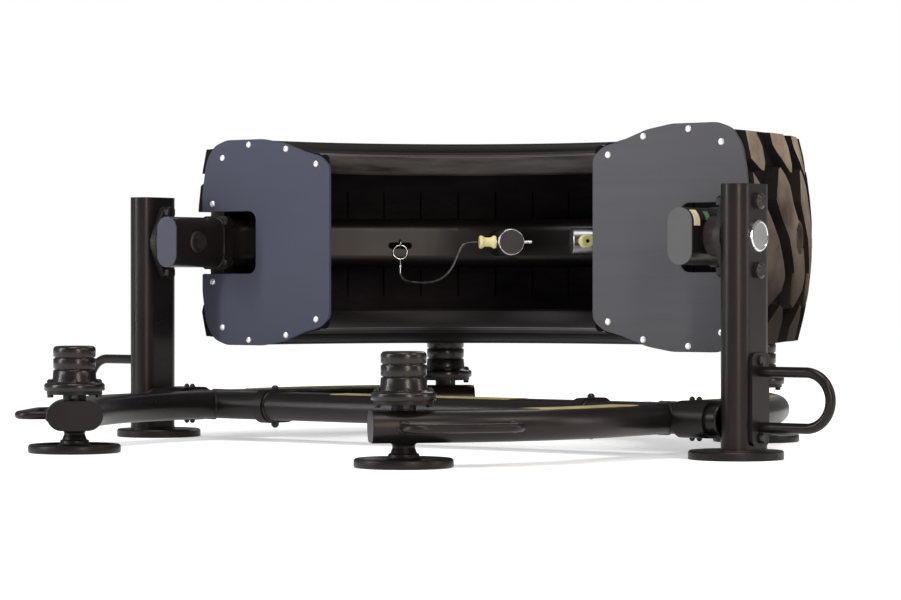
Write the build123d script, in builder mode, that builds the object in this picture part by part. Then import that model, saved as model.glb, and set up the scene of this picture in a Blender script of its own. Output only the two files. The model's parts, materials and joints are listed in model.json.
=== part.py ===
"""Tyre-flip exercise machine: half a heavy tyre that swings 180 degrees between two posts.

Units are millimetres. X runs from the left post to the right post, Y away from the open side
of the tyre at rest, and Z up. The origin is on the floor, under the middle of the machine.
"""
import os
from math import cos, pi, radians, sin, sqrt, tan

from build123d import *

os.makedirs("parts", exist_ok=True)

# ---------------------------------------------------------------- driving dimensions
pivot_z = 465            # height of the swing axis above the floor
half_span = 806          # pivot centre plane to the inner face of each post
tube_w, tube_wall = 120, 4
post_w, post_t = 124, 66
base_t, arm_t = 64, 60   # thickness of the other flat-oval tubes
base_z = 81              # middle height of the base tubes
post_top = 573
disc_r, disc_h = 100, 18

foot_x, foot_y = 456, 657              # levelling foot, from the middle and from the pivot line
leg_x = 640              # where a leg leaves the cross beam
leg_tail = 64            # leg beyond the foot
cap_t = 3

beam_joint = 450         # bolted joint of the cross beam, either side of the middle
joint_plate = 13
sleeve_in, sleeve_out = 701, 777

bumper_r, bumper_gap = 46, 1
seat_z, seat_t = 126, 8                # steel plate under each buffer
neck_r, seat_r, buffer_flange_r = 25, 60, 65.5
buffer_bolt_r = 52       # radius of the circle of bolts through a buffer

shaft_r = 20
run_gap = 0.05           # radial running clearance
bolt_rise = 72           # bearing bolts above and below the shaft
bearing_depth = 42
pivot_cap_t = 7

plate_y = 115            # cut face of the half tyre, from the pivot line
tyre_r, tread_in = 802, 717
bead_r = 380
tyre_half = 246          # half the height of the tyre lying flat
rest_half = 233          # the same over the tyre's outer band, which rests on the buffers
plate_half, plate_out = 247, 779
notch_half, notch_x = 75, 607
slot_depth, slot_in_depth = 45, 150    # arm slot: right through the tread, then inside it only
slot_in_r = 768
bolt_sink = 26           # tread bolts sit in round pockets

arm_x, arm_front, arm_back = 726, -70, 98
flange_t = 8
beam_bend_y = 142        # where the beam inside the tyre starts to bend
bend_in, bend_mid = 120, 575           # bends of the beam inside the tyre

horn_r, horn_end_x, horn_end_y = 31.5, 87, 437
horn_cap_t = 8
pin_r, pin_back = 3.8, 26
grip_l, grip_r, grip_waist = 40, 15.5, 11
rod_r, leg_rod_r = 11, 9               # bent handle rods

cord_r = 2.5

leg_bend = (leg_x - foot_x) / (1 - cos(radians(45)))
leg_straight = foot_y - leg_bend * sin(radians(45))    # straight stretch before the bend
base_reach = foot_y + (leg_tail + cap_t) * sin(radians(45)) + (tube_w - base_t) / 2 * sin(radians(45))
base_reach += base_t / 2
tyre_reach = plate_y + tyre_r
pivot_y = (base_reach - tyre_reach) / 2

left, right, front, back = -1, 1, -1, 1
sides = {"left": left, "right": right}
ends = {"front": front, "rear": back}


def save(part, name):
    """Label one finished piece and write it as its own file."""
    part.label = name
    export_step(part, f"parts/{name}.step")


def level(z):
    """Horizontal plane at height z with its origin on the pivot line."""
    return Plane((0, pivot_y, z))


def across(x, z=0):
    """Plane square to X: its own x runs along Y from the pivot line, its y runs up."""
    return Plane((x, pivot_y, z), x_dir=(0, 1, 0), z_dir=(1, 0, 0))


def facing(y, z=0):
    """Plane square to Y, facing +Y: its own x runs along -X and its y runs up."""
    return Plane((0, pivot_y + y, z), x_dir=(-1, 0, 0), z_dir=(0, 1, 0))


def flat_oval(width, height, wall, turn=0):
    """Hollow flat-oval tube section."""
    SlotOverall(width, height, rotation=turn)
    SlotOverall(width - 2 * wall, height - 2 * wall, rotation=turn, mode=Mode.SUBTRACT)


def leg_point(side, end, back_from_foot, out):
    """Point on a leg: a distance back along it from the foot, and out from its middle line."""
    turn = radians(45) - max(back_from_foot, 0) / leg_bend
    if back_from_foot < 0:
        x = foot_x + back_from_foot * sin(turn)
        y = foot_y - back_from_foot * cos(turn)
    else:
        x = leg_x - leg_bend * (1 - cos(turn))
        y = leg_straight + leg_bend * sin(turn)
    x += out * cos(turn)
    y += out * sin(turn)
    return side * x, end * y


def bolt(x, y, z, axis, radius, length, head_r, head_h, domed=True):
    """Bolt with its head's seat at the point given, its shank running against the axis."""
    plane = Plane((x, pivot_y + y, z), z_dir=axis)
    with BuildPart(plane) as one:
        if length:
            with BuildSketch(plane):
                Circle(radius)
            extrude(amount=-length)
        with BuildSketch(plane):
            if domed:
                Circle(head_r)
            else:
                RegularPolygon(head_r, 6)
        extrude(amount=head_h)
        if domed:
            chamfer(one.edges().filter_by(GeomType.CIRCLE).sort_by(Axis(plane.origin, plane.z_dir))[-1],
                    head_h * 0.45)
    return one.part


def drill(x, y, z, axis, radius, depth):
    """Cut a round hole into the piece being made, from the point given, against the axis."""
    mouth = Plane((x, pivot_y + y, z), z_dir=axis)
    with Locations(mouth.location):
        Cylinder(radius, depth, align=(Align.CENTER, Align.CENTER, Align.MAX), mode=Mode.SUBTRACT)


# ---------------------------------------------------------------- base: cross beam
with BuildPart() as centre_beam:
    with BuildSketch(across(-beam_joint + joint_plate, base_z)):
        flat_oval(tube_w, base_t, tube_wall)
    extrude(amount=2 * (beam_joint - joint_plate))
save(centre_beam.part, "centre_beam")

sleeve_mid = (sleeve_in + sleeve_out) / 2
clamp_bolts = (sleeve_in + 9, sleeve_in + 27)
with BuildPart() as beam_stubs:
    for side in (left, right):
        with BuildSketch(across(side * (beam_joint + joint_plate), base_z)):
            flat_oval(tube_w, base_t, tube_wall)
        extrude(amount=side * (sleeve_mid - 2 - beam_joint - joint_plate))
save(beam_stubs.part, "beam_stubs")

joint_plates = []
for side in (left, right):
    for start in (beam_joint - joint_plate, beam_joint):
        with BuildPart() as joint_flange:
            with BuildSketch(across(side * start, base_z)):
                SlotOverall(tube_w + 16, base_t + 14)
            extrude(amount=side * joint_plate)
            for up in (1, -1):
                drill(side * beam_joint, 0, base_z + up * (base_t / 2 + 7), (0, 0, up), 7, 6)
        joint_plates.append(joint_flange.part)
save(Compound(joint_plates), "joint_flanges")

frame_bolts = []
for side in (left, right):
    frame_bolts.append(bolt(side * beam_joint, 0, base_z + base_t / 2 + 7, (0, 0, 1), 7, 6, 8, 9))
    frame_bolts.append(bolt(side * beam_joint, 0, base_z - base_t / 2 - 7, (0, 0, -1), 7, 6, 9, 12))
with BuildPart() as clamp_sleeves:
    for side in (left, right):
        with BuildSketch(across(side * sleeve_in, base_z)):
            SlotOverall(tube_w + 14, base_t + 14)
            SlotOverall(tube_w, base_t, mode=Mode.SUBTRACT)
        extrude(amount=side * (sleeve_out - sleeve_in))
        for place in clamp_bolts:
            for up in (1, -1):
                drill(side * place, 0, base_z + up * (base_t / 2 + 7), (0, 0, up), 4, 7)
save(clamp_sleeves.part, "clamp_sleeves")

for side in (left, right):
    for place in clamp_bolts:
        for up in (1, -1):
            frame_bolts.append(bolt(side * place, 0, base_z + up * (base_t / 2 + 7), (0, 0, up), 4, 7, 6, 8))

with BuildPart() as post_stubs:
    for side in (left, right):
        with BuildSketch(across(side * (sleeve_mid + 2), base_z)):
            flat_oval(tube_w, base_t, tube_wall)
        extrude(amount=side * (half_span - sleeve_mid - 2))
save(post_stubs.part, "post_stubs")


# ---------------------------------------------------------------- base: four bowed legs
def leg_tube(side, end):
    """Bowed flat-oval leg, coped where it meets the side of the cross beam."""
    with BuildPart() as leg:
        with BuildLine(level(base_z)) as path:
            Line((side * leg_x, 0), (side * leg_x, end * leg_straight))
            centre = (side * (leg_x - leg_bend), end * leg_straight)
            if side * end > 0:
                CenterArc(centre, leg_bend, 0 if side > 0 else 180, 45)
            else:
                CenterArc(centre, leg_bend, 0 if side > 0 else 180, -45)
            Line((side * foot_x, end * foot_y), leg_point(side, end, -leg_tail, 0))
        start = Plane((side * leg_x, pivot_y, base_z), x_dir=(1, 0, 0), z_dir=(0, end, 0))
        with BuildSketch(start):
            flat_oval(tube_w, base_t, tube_wall)
        sweep(path=path.line)
        with BuildSketch(across(side * (leg_x - tube_w), base_z)):
            SlotOverall(tube_w, base_t)
        extrude(amount=side * 2 * tube_w, mode=Mode.SUBTRACT)
    solids = leg.part.solids().sort_by(SortBy.VOLUME)
    return solids[-1]


legs = {}
for end_name, end in ends.items():
    for side_name, side in sides.items():
        legs[end, side] = leg_tube(side, end)
        save(legs[end, side], f"{end_name}_{side_name}_leg")

with BuildPart() as tube_end_caps:
    for side in (left, right):
        for end in (front, back):
            x, y = leg_point(side, end, -leg_tail, 0)
            face = Plane((x, pivot_y + y, base_z), x_dir=(side * end, 1, 0),
                         z_dir=(-side, end, 0))
            with BuildSketch(face):
                SlotOverall(tube_w, base_t)
            extrude(amount=cap_t)
        with BuildSketch(level(post_top - cap_t)):
            with Locations((side * (half_span + post_t / 2), 0)):
                SlotOverall(post_w, post_t, rotation=90)
        extrude(amount=cap_t)
save(tube_end_caps.part, "tube_end_caps")

# bent rod handles on the outer side of each front leg, one solid for each run and each bend
handle_near, handle_far, handle_out, handle_bend = -6, 205, 70, 32
root = tube_w / 2 - 2.5
for side_name, side in sides.items():
    with BuildLine(level(base_z)) as path:
        FilletPolyline(leg_point(side, front, handle_near, root),
                       leg_point(side, front, handle_near, root + handle_out),
                       leg_point(side, front, handle_far, root + handle_out - 12),
                       leg_point(side, front, handle_far, root), radius=handle_bend)
    rods = []
    for run in path.edges():
        with BuildPart() as rod:
            with BuildSketch(Plane(origin=run @ 0, z_dir=run % 0)):
                Circle(leg_rod_r)
            sweep(path=run)
            add(legs[front, side], mode=Mode.SUBTRACT)
        rods.append(rod.part)
    save(Compound(rods), f"front_{side_name}_handle")

# ---------------------------------------------------------------- base: feet
feet = [(side * foot_x, end * foot_y) for end in (front, back) for side in (left, right)]
foot_names = [f"{end}_{side}_foot" for end in ends for side in sides]


# half section of a foot pad: flat disc, raised rim and a stepped cone up to the stem
stem_r, cone_top = 22.5, 38
foot_outline = [(0, 0), (disc_r, 0), (disc_r, disc_h - 4), (disc_r - 4, disc_h),
                (disc_r - 13, disc_h), (disc_r - 19, disc_h - 5), (42, disc_h - 5),
                (33, disc_h + 1), (31, disc_h + 9), (27, disc_h + 10), (stem_r + 1, cone_top),
                (0, cone_top)]
for name, (x, y) in zip(foot_names, feet):
    stand = Plane((x, pivot_y + y, 0), x_dir=(1, 0, 0), z_dir=(0, -1, 0))
    with BuildPart() as foot:
        with BuildSketch(stand):
            with BuildLine():
                Polyline(*foot_outline, close=True)
            make_face()
        revolve(axis=Axis((x, pivot_y + y, 0), (0, 0, 1)))
    save(foot.part, name)

with BuildPart() as post_discs:
    for side in (left, right):
        with BuildSketch(level(0)):
            with Locations((side * (half_span + 13), 0)):
                Circle(disc_r)
        extrude(amount=disc_h)
    chamfer(post_discs.edges().filter_by(GeomType.CIRCLE).group_by(Axis.Z)[-1], 3)
save(post_discs.part, "post_discs")

stem_top = base_z - base_t / 2
with BuildPart() as levelling_stems:
    for x, y in feet:
        with BuildSketch(level(cone_top)):
            with Locations((x, y)):
                Circle(stem_r)
        extrude(amount=stem_top - cone_top)
save(levelling_stems.part, "levelling_stems")

# ---------------------------------------------------------------- base: posts and their handles
post_mid = half_span + post_t / 2
for name, side in sides.items():
    with BuildPart() as post:
        with BuildSketch(level(disc_h)):
            with Locations((side * post_mid, 0)):
                flat_oval(post_w, post_t, tube_wall, 90)
        extrude(amount=post_top - cap_t - disc_h)
        for rise, radius in ((0, shaft_r + 1), (bolt_rise, 8), (-bolt_rise, 8)):
            with BuildSketch(across(side * (half_span - 5), pivot_z + rise)):
                Circle(radius)
            extrude(amount=side * (post_t + 10), mode=Mode.SUBTRACT)
    save(post.part, f"{name}_post")

grip_low, grip_high = 67.5, 183
plate_low, plate_high, plate_t = 29, 222, 8
outer_face = half_span + post_t
with BuildPart() as handle_plates:
    for side in (left, right):
        with BuildSketch(across(side * outer_face, (plate_low + plate_high) / 2)):
            RectangleRounded(66, plate_high - plate_low, 14)
        extrude(amount=side * plate_t)
        for z in (plate_low + 16, plate_high - 16):
            drill(side * (outer_face + plate_t), 0, z, (side, 0, 0), 6, plate_t)
save(handle_plates.part, "handle_plates")

for side in (left, right):
    for z in (plate_low + 16, plate_high - 16):
        frame_bolts.append(bolt(side * (outer_face + plate_t), 0, z, (side, 0, 0), 6, plate_t, 11, 8))
save(Compound(frame_bolts), "frame_bolts")

grip_reach = 1047
for name, side in sides.items():
    bend = (grip_high - grip_low) / 2
    with BuildPart() as post_handle:
        upright = Plane((0, pivot_y, 0), x_dir=(1, 0, 0), z_dir=(0, -1, 0))
        with BuildLine(upright) as path:
            root = side * (outer_face + plate_t)
            turn = side * (grip_reach - bend)
            Line((root, grip_low), (turn, grip_low))
            ThreePointArc((turn, grip_low), (side * grip_reach, grip_low + bend), (turn, grip_high))
            Line((turn, grip_high), (root, grip_high))
        with BuildSketch(Plane(origin=path.line @ 0, z_dir=path.line % 0)):
            Circle(rod_r)
        sweep(path=path.line)
    save(post_handle.part, f"{name}_post_handle")

# ---------------------------------------------------------------- base: bumpers
bumper_top = pivot_z - rest_half - bumper_gap
tube_top = base_z + base_t / 2
flange_low, flange_high = seat_z + seat_t, seat_z + seat_t + 17
rib_low, rib_high = flange_high + 29, bumper_top - 25
bolt_turns = [radians(45 + 90 * quarter) for quarter in range(4)]
buffer_bolts = [(buffer_bolt_r * cos(turn), buffer_bolt_r * sin(turn)) for turn in bolt_turns]

# half section of a rubber buffer: flange, flared foot and two ribs
bumper_outline = [(0, flange_low), (buffer_flange_r, flange_low), (buffer_flange_r, flange_high - 3),
                  (buffer_flange_r - 4, flange_high), (bumper_r + 5, flange_high),
                  (bumper_r, flange_high + 12), (bumper_r, rib_low), (bumper_r - 3, rib_low + 1),
                  (bumper_r, rib_low + 2), (bumper_r, rib_high - 1), (bumper_r - 3, rib_high),
                  (bumper_r, rib_high + 1), (bumper_r, bumper_top - 6), (bumper_r - 6, bumper_top),
                  (0, bumper_top)]
for name, (x, y) in zip([f"{end}_{side}_bumper" for end in ends for side in sides], feet):
    stand = Plane((x, pivot_y + y, 0), x_dir=(1, 0, 0), z_dir=(0, -1, 0))
    with BuildPart() as bumper:
        with BuildSketch(stand):
            with BuildLine():
                Polyline(*bumper_outline, close=True)
            make_face()
        revolve(axis=Axis((x, pivot_y + y, 0), (0, 0, 1)))
        for dx, dy in buffer_bolts:
            drill(x + dx, y + dy, flange_high + 15, (0, 0, 1), 4, 40)
            drill(x + dx, y + dy, flange_high + 15, (0, 0, 1), 8, 15)
    save(bumper.part, name)

with BuildPart() as bumper_seats:
    for x, y in feet:
        with BuildSketch(level(tube_top)):
            with Locations((x, y)):
                Circle(neck_r)
        extrude(amount=seat_z - tube_top)
        with BuildSketch(level(seat_z)):
            with Locations((x, y)):
                Circle(seat_r)
        extrude(amount=seat_t)
        for dx, dy in buffer_bolts:
            drill(x + dx, y + dy, flange_low, (0, 0, 1), 4, seat_t)
save(bumper_seats.part, "bumper_seats")

bumper_bolts = []
for x, y in feet:
    for dx, dy in buffer_bolts:
        bumper_bolts.append(bolt(x + dx, y + dy, flange_high, (0, 0, 1), 4, flange_high - seat_z, 7.5, 8))
        bumper_bolts.append(bolt(x + dx, y + dy, seat_z, (0, 0, -1), 4, 0, 7, 7, False))
save(Compound(bumper_bolts), "bumper_bolts")

# ---------------------------------------------------------------- base: pivot bearings
housings = []
for side in (left, right):
    with BuildPart() as bearing:
        with BuildSketch(across(side * half_span, pivot_z)):
            Circle(44)
            with Locations((0, bolt_rise), (0, -bolt_rise)):
                Circle(14)
            make_hull()
        extrude(amount=-side * 16)
        with BuildSketch(across(side * (half_span - 16), pivot_z)):
            Circle(43)
        extrude(amount=-side * (bearing_depth - 16))
        with BuildSketch(across(side * (half_span - bearing_depth), pivot_z)):
            Circle(31)
        extrude(amount=side * bearing_depth, mode=Mode.SUBTRACT)
        with BuildSketch(across(side * (half_span - 20), pivot_z)):
            with Locations((0, bolt_rise), (0, -bolt_rise)):
                Circle(8)
        extrude(amount=side * 20, mode=Mode.SUBTRACT)
    housings.append(bearing.part)
save(Compound(housings), "bearing_housings")

bearing_bolts = []
for side in (left, right):
    for rise in (bolt_rise, -bolt_rise):
        z = pivot_z + rise
        bearing_bolts.append(bolt(side * outer_face, 0, z, (side, 0, 0), 8, post_t + 16, 17, 15))
        bearing_bolts.append(bolt(side * (half_span - 16), 0, z, (-side, 0, 0), 8, 0, 14, 13, False))
save(Compound(bearing_bolts), "bearing_bolts")

with BuildPart() as pivot_caps:
    for side in (left, right):
        with BuildSketch(across(side * outer_face, pivot_z)):
            Circle(33)
        extrude(amount=side * pivot_cap_t)
save(pivot_caps.part, "pivot_caps")

# ---------------------------------------------------------------- tyre frame: arms and shafts
for name, side in sides.items():
    with BuildPart() as arm:
        with BuildSketch(facing(arm_front, pivot_z)):
            with Locations((-side * arm_x, 0)):
                flat_oval(tube_w, arm_t, tube_wall, 90)
        extrude(amount=arm_back - arm_front)
        with BuildSketch(across(side * (arm_x - arm_t), pivot_z)):
            Circle(shaft_r)
        extrude(amount=side * 2 * arm_t, mode=Mode.SUBTRACT)
    save(arm.part, f"{name}_arm")

with BuildPart() as arm_caps:
    for side in (left, right):
        with BuildSketch(facing(arm_front - cap_t, pivot_z)):
            with Locations((-side * arm_x, 0)):
                SlotOverall(tube_w, arm_t, rotation=90)
        extrude(amount=cap_t)
save(arm_caps.part, "arm_caps")

flange_w, flange_h = arm_t + 22, tube_w + 8
bolt_in, bolt_up = 33, 47
corners = [(dx, dz) for dx in (-bolt_in, bolt_in) for dz in (-bolt_up, bolt_up)]
flange_plates = []
for side in (left, right):
    for start in (arm_back, arm_back + flange_t):
        with BuildPart() as arm_flange:
            with BuildSketch(facing(start, pivot_z)):
                with Locations((-side * arm_x, 0)):
                    RectangleRounded(flange_w, flange_h, 12)
            extrude(amount=flange_t)
            for dx, dz in corners:
                drill(side * arm_x + dx, start, pivot_z + dz, (0, -1, 0), 4, flange_t)
        flange_plates.append(arm_flange.part)
save(Compound(flange_plates), "arm_flanges")

arm_fasteners = []
for side in (left, right):
    for dx, dz in corners:
        x, z = side * arm_x + dx, pivot_z + dz
        arm_fasteners.append(bolt(x, arm_back, z, (0, -1, 0), 4, 2 * flange_t, 6, 5))
        arm_fasteners.append(bolt(x, arm_back + 2 * flange_t, z, (0, 1, 0), 4, 0, 6.5, 7, False))

arm_inner, arm_outer = arm_x - arm_t / 2, arm_x + arm_t / 2
with BuildPart() as pivot_shafts:
    for side in (left, right):
        with BuildSketch(across(side * arm_inner, pivot_z)):
            Circle(shaft_r)
        extrude(amount=side * (outer_face - arm_inner - 2))
        with BuildSketch(across(side * arm_outer, pivot_z)):
            Circle(29)
        extrude(amount=side * (half_span - bearing_depth - 2 - arm_outer))
save(pivot_shafts.part, "pivot_shafts")

for side in (left, right):
    arm_fasteners.append(bolt(side * arm_inner, 0, pivot_z, (-side, 0, 0), 8, 0, 26, 7))
    arm_fasteners.append(bolt(side * (arm_inner - 7), 0, pivot_z, (-side, 0, 0), 8, 0, 19, 10, False))
save(Compound(arm_fasteners), "arm_fasteners")

with BuildPart() as bearing_rings:
    for side in (left, right):
        with BuildSketch(across(side * (half_span - bearing_depth + 1), pivot_z)):
            Circle(31 - run_gap)
            Circle(shaft_r, mode=Mode.SUBTRACT)
        extrude(amount=side * (bearing_depth - 2))
save(bearing_rings.part, "bearing_rings")

# ---------------------------------------------------------------- tyre frame: beam in the tyre
beam_start = arm_back + 2 * flange_t
diag = radians(45)
bend_x, bend_y = bend_in * (1 - cos(diag)), bend_in * sin(diag)
turn_x, turn_y = arm_x - bend_x, beam_bend_y + bend_y
mid_x = bend_mid * sin(diag)
mid_y = turn_y + turn_x - mid_x
mid_centre = mid_y - bend_mid * cos(diag)

with BuildPart() as inner_beam:
    with BuildLine(level(pivot_z)) as path:
        Line((-arm_x, beam_start), (-arm_x, beam_bend_y))
        CenterArc((-arm_x + bend_in, beam_bend_y), bend_in, 180, -45)
        Line((-turn_x, turn_y), (-mid_x, mid_y))
        CenterArc((0, mid_centre), bend_mid, 135, -90)
        Line((mid_x, mid_y), (turn_x, turn_y))
        CenterArc((arm_x - bend_in, beam_bend_y), bend_in, 45, -45)
        Line((arm_x, beam_bend_y), (arm_x, beam_start))
    with BuildSketch(Plane((-arm_x, pivot_y + beam_start, pivot_z), x_dir=(-1, 0, 0),
                           z_dir=(0, 1, 0))):
        flat_oval(tube_w, arm_t, tube_wall, 90)
    sweep(path=path.line)
save(inner_beam.part, "inner_beam")

bracket_angles = (17, 65, 115, 163)


def beam_outer(angle):
    """Distance from the tyre's centre to the outer face of the inner beam at an angle."""
    steep = min(angle, 180 - angle)
    a = radians(steep)
    reach = (mid_x + mid_y - plate_y) / (cos(a) + sin(a))
    if steep > 52:
        drop = plate_y - mid_centre
        reach = -drop * sin(a) + sqrt(bend_mid ** 2 - (drop * cos(a)) ** 2)
    return reach + arm_t / 2


brackets = []
for angle in bracket_angles:
    radial = (cos(radians(angle)), sin(radians(angle)), 0)
    reach = beam_outer(angle) - 14
    start = Plane((reach * radial[0], pivot_y + plate_y + reach * radial[1], pivot_z),
                  x_dir=(0, 0, 1), z_dir=radial)
    length = tread_in - 14 - reach
    with BuildPart() as bracket:
        with BuildSketch(start):
            SlotOverall(90, 44)
        extrude(amount=length)
        with BuildSketch(start.offset(length)):
            RectangleRounded(110, 80, 12)
        extrude(amount=10)
        add(inner_beam.part, mode=Mode.SUBTRACT)
        x, y = (tread_in - 4) * radial[0], plate_y + (tread_in - 4) * radial[1]
        drill(x, y, pivot_z, radial, 9, 40)
    brackets.append(bracket.part.solids().sort_by(SortBy.VOLUME)[-1])
save(Compound(brackets), "tyre_brackets")

tread_bolts = []
for angle in bracket_angles:
    radial = (cos(radians(angle)), sin(radians(angle)), 0)
    seat = tyre_r - bolt_sink
    x, y = seat * radial[0], plate_y + seat * radial[1]
    tread_bolts.append(bolt(x, y, pivot_z, radial, 9, 84, 24, 12))
save(Compound(tread_bolts), "tread_bolts")

# ---------------------------------------------------------------- tyre frame: half tyre

# section of the tyre: radius first, then height above or below its middle
tyre_skin = [(bead_r, 197), (bead_r + 20, 206), (500, 229), (560, tyre_half - 4), (600, tyre_half),
             (640, tyre_half), (656, rest_half), (758, rest_half), (778, 218), (788, 160), (798, 90),
             (tyre_r, 30)]
tyre_lining = [(tread_in, 150), (690, 190), (640, 202), (560, 200), (430, 174), (bead_r + 14, 161),
               (bead_r, 168)]
tyre_outline = tyre_skin + [(x, -y) for x, y in reversed(tyre_skin)]
tyre_outline += [(x, -y) for x, y in reversed(tyre_lining)] + tyre_lining

tyre_axis = Axis((0, pivot_y + plate_y, 0), (0, 0, 1))
with BuildPart() as tyre:
    with BuildSketch(Plane((0, pivot_y + plate_y, pivot_z), x_dir=(1, 0, 0), z_dir=(0, -1, 0))):
        with BuildLine():
            Polyline(*tyre_outline, close=True)
        make_face()
    revolve(axis=tyre_axis, revolution_arc=180)
    with BuildSketch(facing(plate_y - 5, pivot_z)):
        for side in (left, right):
            with Locations((side * (notch_x + 200), 0)):
                RectangleRounded(400, 2 * notch_half, 24)
    extrude(amount=slot_depth + 5, mode=Mode.SUBTRACT)
    with BuildSketch(level(pivot_z - notch_half)):
        with Locations((0, plate_y)):
            Circle(slot_in_r)
        with Locations((0, plate_y + slot_in_depth + 400)):
            Rectangle(2000, 800, mode=Mode.SUBTRACT)
        Rectangle(2 * notch_x, 2000, mode=Mode.SUBTRACT)
    extrude(amount=2 * notch_half, mode=Mode.SUBTRACT)
    for angle in bracket_angles:
        radial = (cos(radians(angle)), sin(radians(angle)), 0)
        hub = Plane((0, pivot_y + plate_y, pivot_z), x_dir=(0, 0, 1), z_dir=radial)
        with BuildSketch(hub.offset(tyre_r - bolt_sink)):
            Circle(37)
        extrude(amount=60, mode=Mode.SUBTRACT)
        with BuildSketch(hub.offset(tread_in - 30)):
            Circle(9)
        extrude(amount=tyre_r - tread_in + 30, mode=Mode.SUBTRACT)
save(tyre.part, "half_tyre")

# ---------------------------------------------------------------- tyre frame: end plates
plate_thick = 5
for name, side in sides.items():
    with BuildPart() as end_plate:
        with BuildSketch(facing(plate_y, pivot_z)):
            with BuildLine():
                edge = [(bead_r - 4, 176), (bead_r + 22, 198), (450, 220), (520, 236),
                        (590, plate_half), (690, plate_half), (735, 236), (764, 205),
                        (plate_out, 130), (plate_out, notch_half + 6), (plate_out - 6, notch_half),
                        (notch_x + 22, notch_half), (notch_x, notch_half - 22)]
                outline = edge + [(x, -y) for x, y in reversed(edge)]
                Polyline(*[(-side * x, y) for x, y in outline], close=True)
            make_face()
        extrude(amount=-plate_thick)
    save(end_plate.part, f"{name}_end_plate")

rivet_spots = [(404, 182), (486, 213), (580, 232), (690, 222), (752, 98)]
rivets = []
for side in (left, right):
    for x, rise in rivet_spots:
        for flip in (1, -1):
            rivets.append(bolt(side * x, plate_y - plate_thick, pivot_z + flip * rise, (0, -1, 0),
                               4, 0, 7.5, 3))
save(Compound(rivets), "plate_rivets")

# ---------------------------------------------------------------- tyre frame: weight horns
beam_face_r = bend_mid - arm_t / 2     # concave face that the horns are welded to
end_y = horn_end_y - mid_centre
reach_sum = horn_end_x + end_y
spare = 2 * (horn_end_x ** 2 + end_y ** 2 - beam_face_r ** 2)
horn_len = (sqrt(reach_sum ** 2 - spare) - reach_sum) / sqrt(2)
horn_len += 6            # into the curve of the beam, where the horn is coped
for name, side in sides.items():
    out = Vector(side * -sin(diag), -cos(diag), 0)
    tip = Vector(side * horn_end_x, pivot_y + horn_end_y, pivot_z)
    hole = tip - out * pin_back
    sideways = Vector(side * cos(diag), -sin(diag), 0)
    with BuildPart() as weight_horn:
        with BuildSketch(Plane(origin=tip - out * horn_cap_t, z_dir=-out)):
            Circle(horn_r)
        extrude(amount=horn_len - horn_cap_t)
        with BuildSketch(Plane(origin=hole - sideways * 40, z_dir=sideways)):
            Circle(pin_r + run_gap)
        extrude(amount=80, mode=Mode.SUBTRACT)
        add(inner_beam.part, mode=Mode.SUBTRACT)
    save(weight_horn.part.solids().sort_by(SortBy.VOLUME)[-1], f"{name}_weight_horn")

with BuildPart() as horn_discs:
    for side in (left, right):
        out = Vector(side * -sin(diag), -cos(diag), 0)
        tip = Vector(side * horn_end_x, pivot_y + horn_end_y, pivot_z)
        with BuildSketch(Plane(origin=tip, z_dir=-out)):
            Circle(horn_r)
        extrude(amount=horn_cap_t)
save(horn_discs.part, "horn_discs")


# ---------------------------------------------------------------- retaining pins
def pin_frame(side):
    """Hole in the horn, and the way the pin is drawn out of it."""
    out = Vector(side * -sin(diag), -cos(diag), 0)
    tip = Vector(side * horn_end_x, pivot_y + horn_end_y, pivot_z)
    pull = Vector(-cos(diag), -sin(diag), 0) if side == left else Vector(cos(diag), -sin(diag), 0)
    return tip - out * pin_back, pull


grip_start = horn_r + 2.5
for name, side in sides.items():
    hole, pull = pin_frame(side)
    with BuildPart() as pin:
        with BuildSketch(Plane(origin=hole + pull * grip_start, z_dir=-pull)):
            Circle(pin_r)
        extrude(amount=grip_start + 52)
    save(pin.part, f"{name}_pin")
    with BuildPart() as grip:
        with BuildSketch(Plane(origin=hole + pull * grip_start, x_dir=(0, 0, 1),
                               z_dir=Vector(0, 0, 1).cross(pull))):
            with BuildLine():
                Polyline((0, 0), (grip_r - 2, 0), (grip_r, 3), (grip_r, 9), (grip_waist, 15),
                         (grip_waist, grip_l - 15), (grip_r, grip_l - 9), (grip_r, grip_l - 3),
                         (grip_r - 2, grip_l), (0, grip_l), (0, 0))
            make_face()
        revolve(axis=Axis(hole + pull * grip_start, pull))
    save(grip.part, f"{name}_pin_grip")

# ---------------------------------------------------------------- tether of the left pin
# eye, ring and ferrule on the face of the inner beam
eye_x, eye_z, eye_r, eye_wire = -431, 464, 9, 2
ring_r, ring_wire, ring_drop, ring_off = 17, 1.8, 4, 3.4
ferrule_r, ferrule_top, ferrule_end, cord_start = 3.2, 411, 392, 391
face_out = Vector(sin(diag), -cos(diag), 0)
face_along = Vector(cos(diag), sin(diag), 0)
eye_y = eye_x + turn_x + turn_y - arm_t / 2 * sqrt(2)
eye = Vector(eye_x, pivot_y + eye_y, eye_z)
ring_mid = eye + face_out * ring_off - Vector(0, 0, ring_drop + ring_r)

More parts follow.
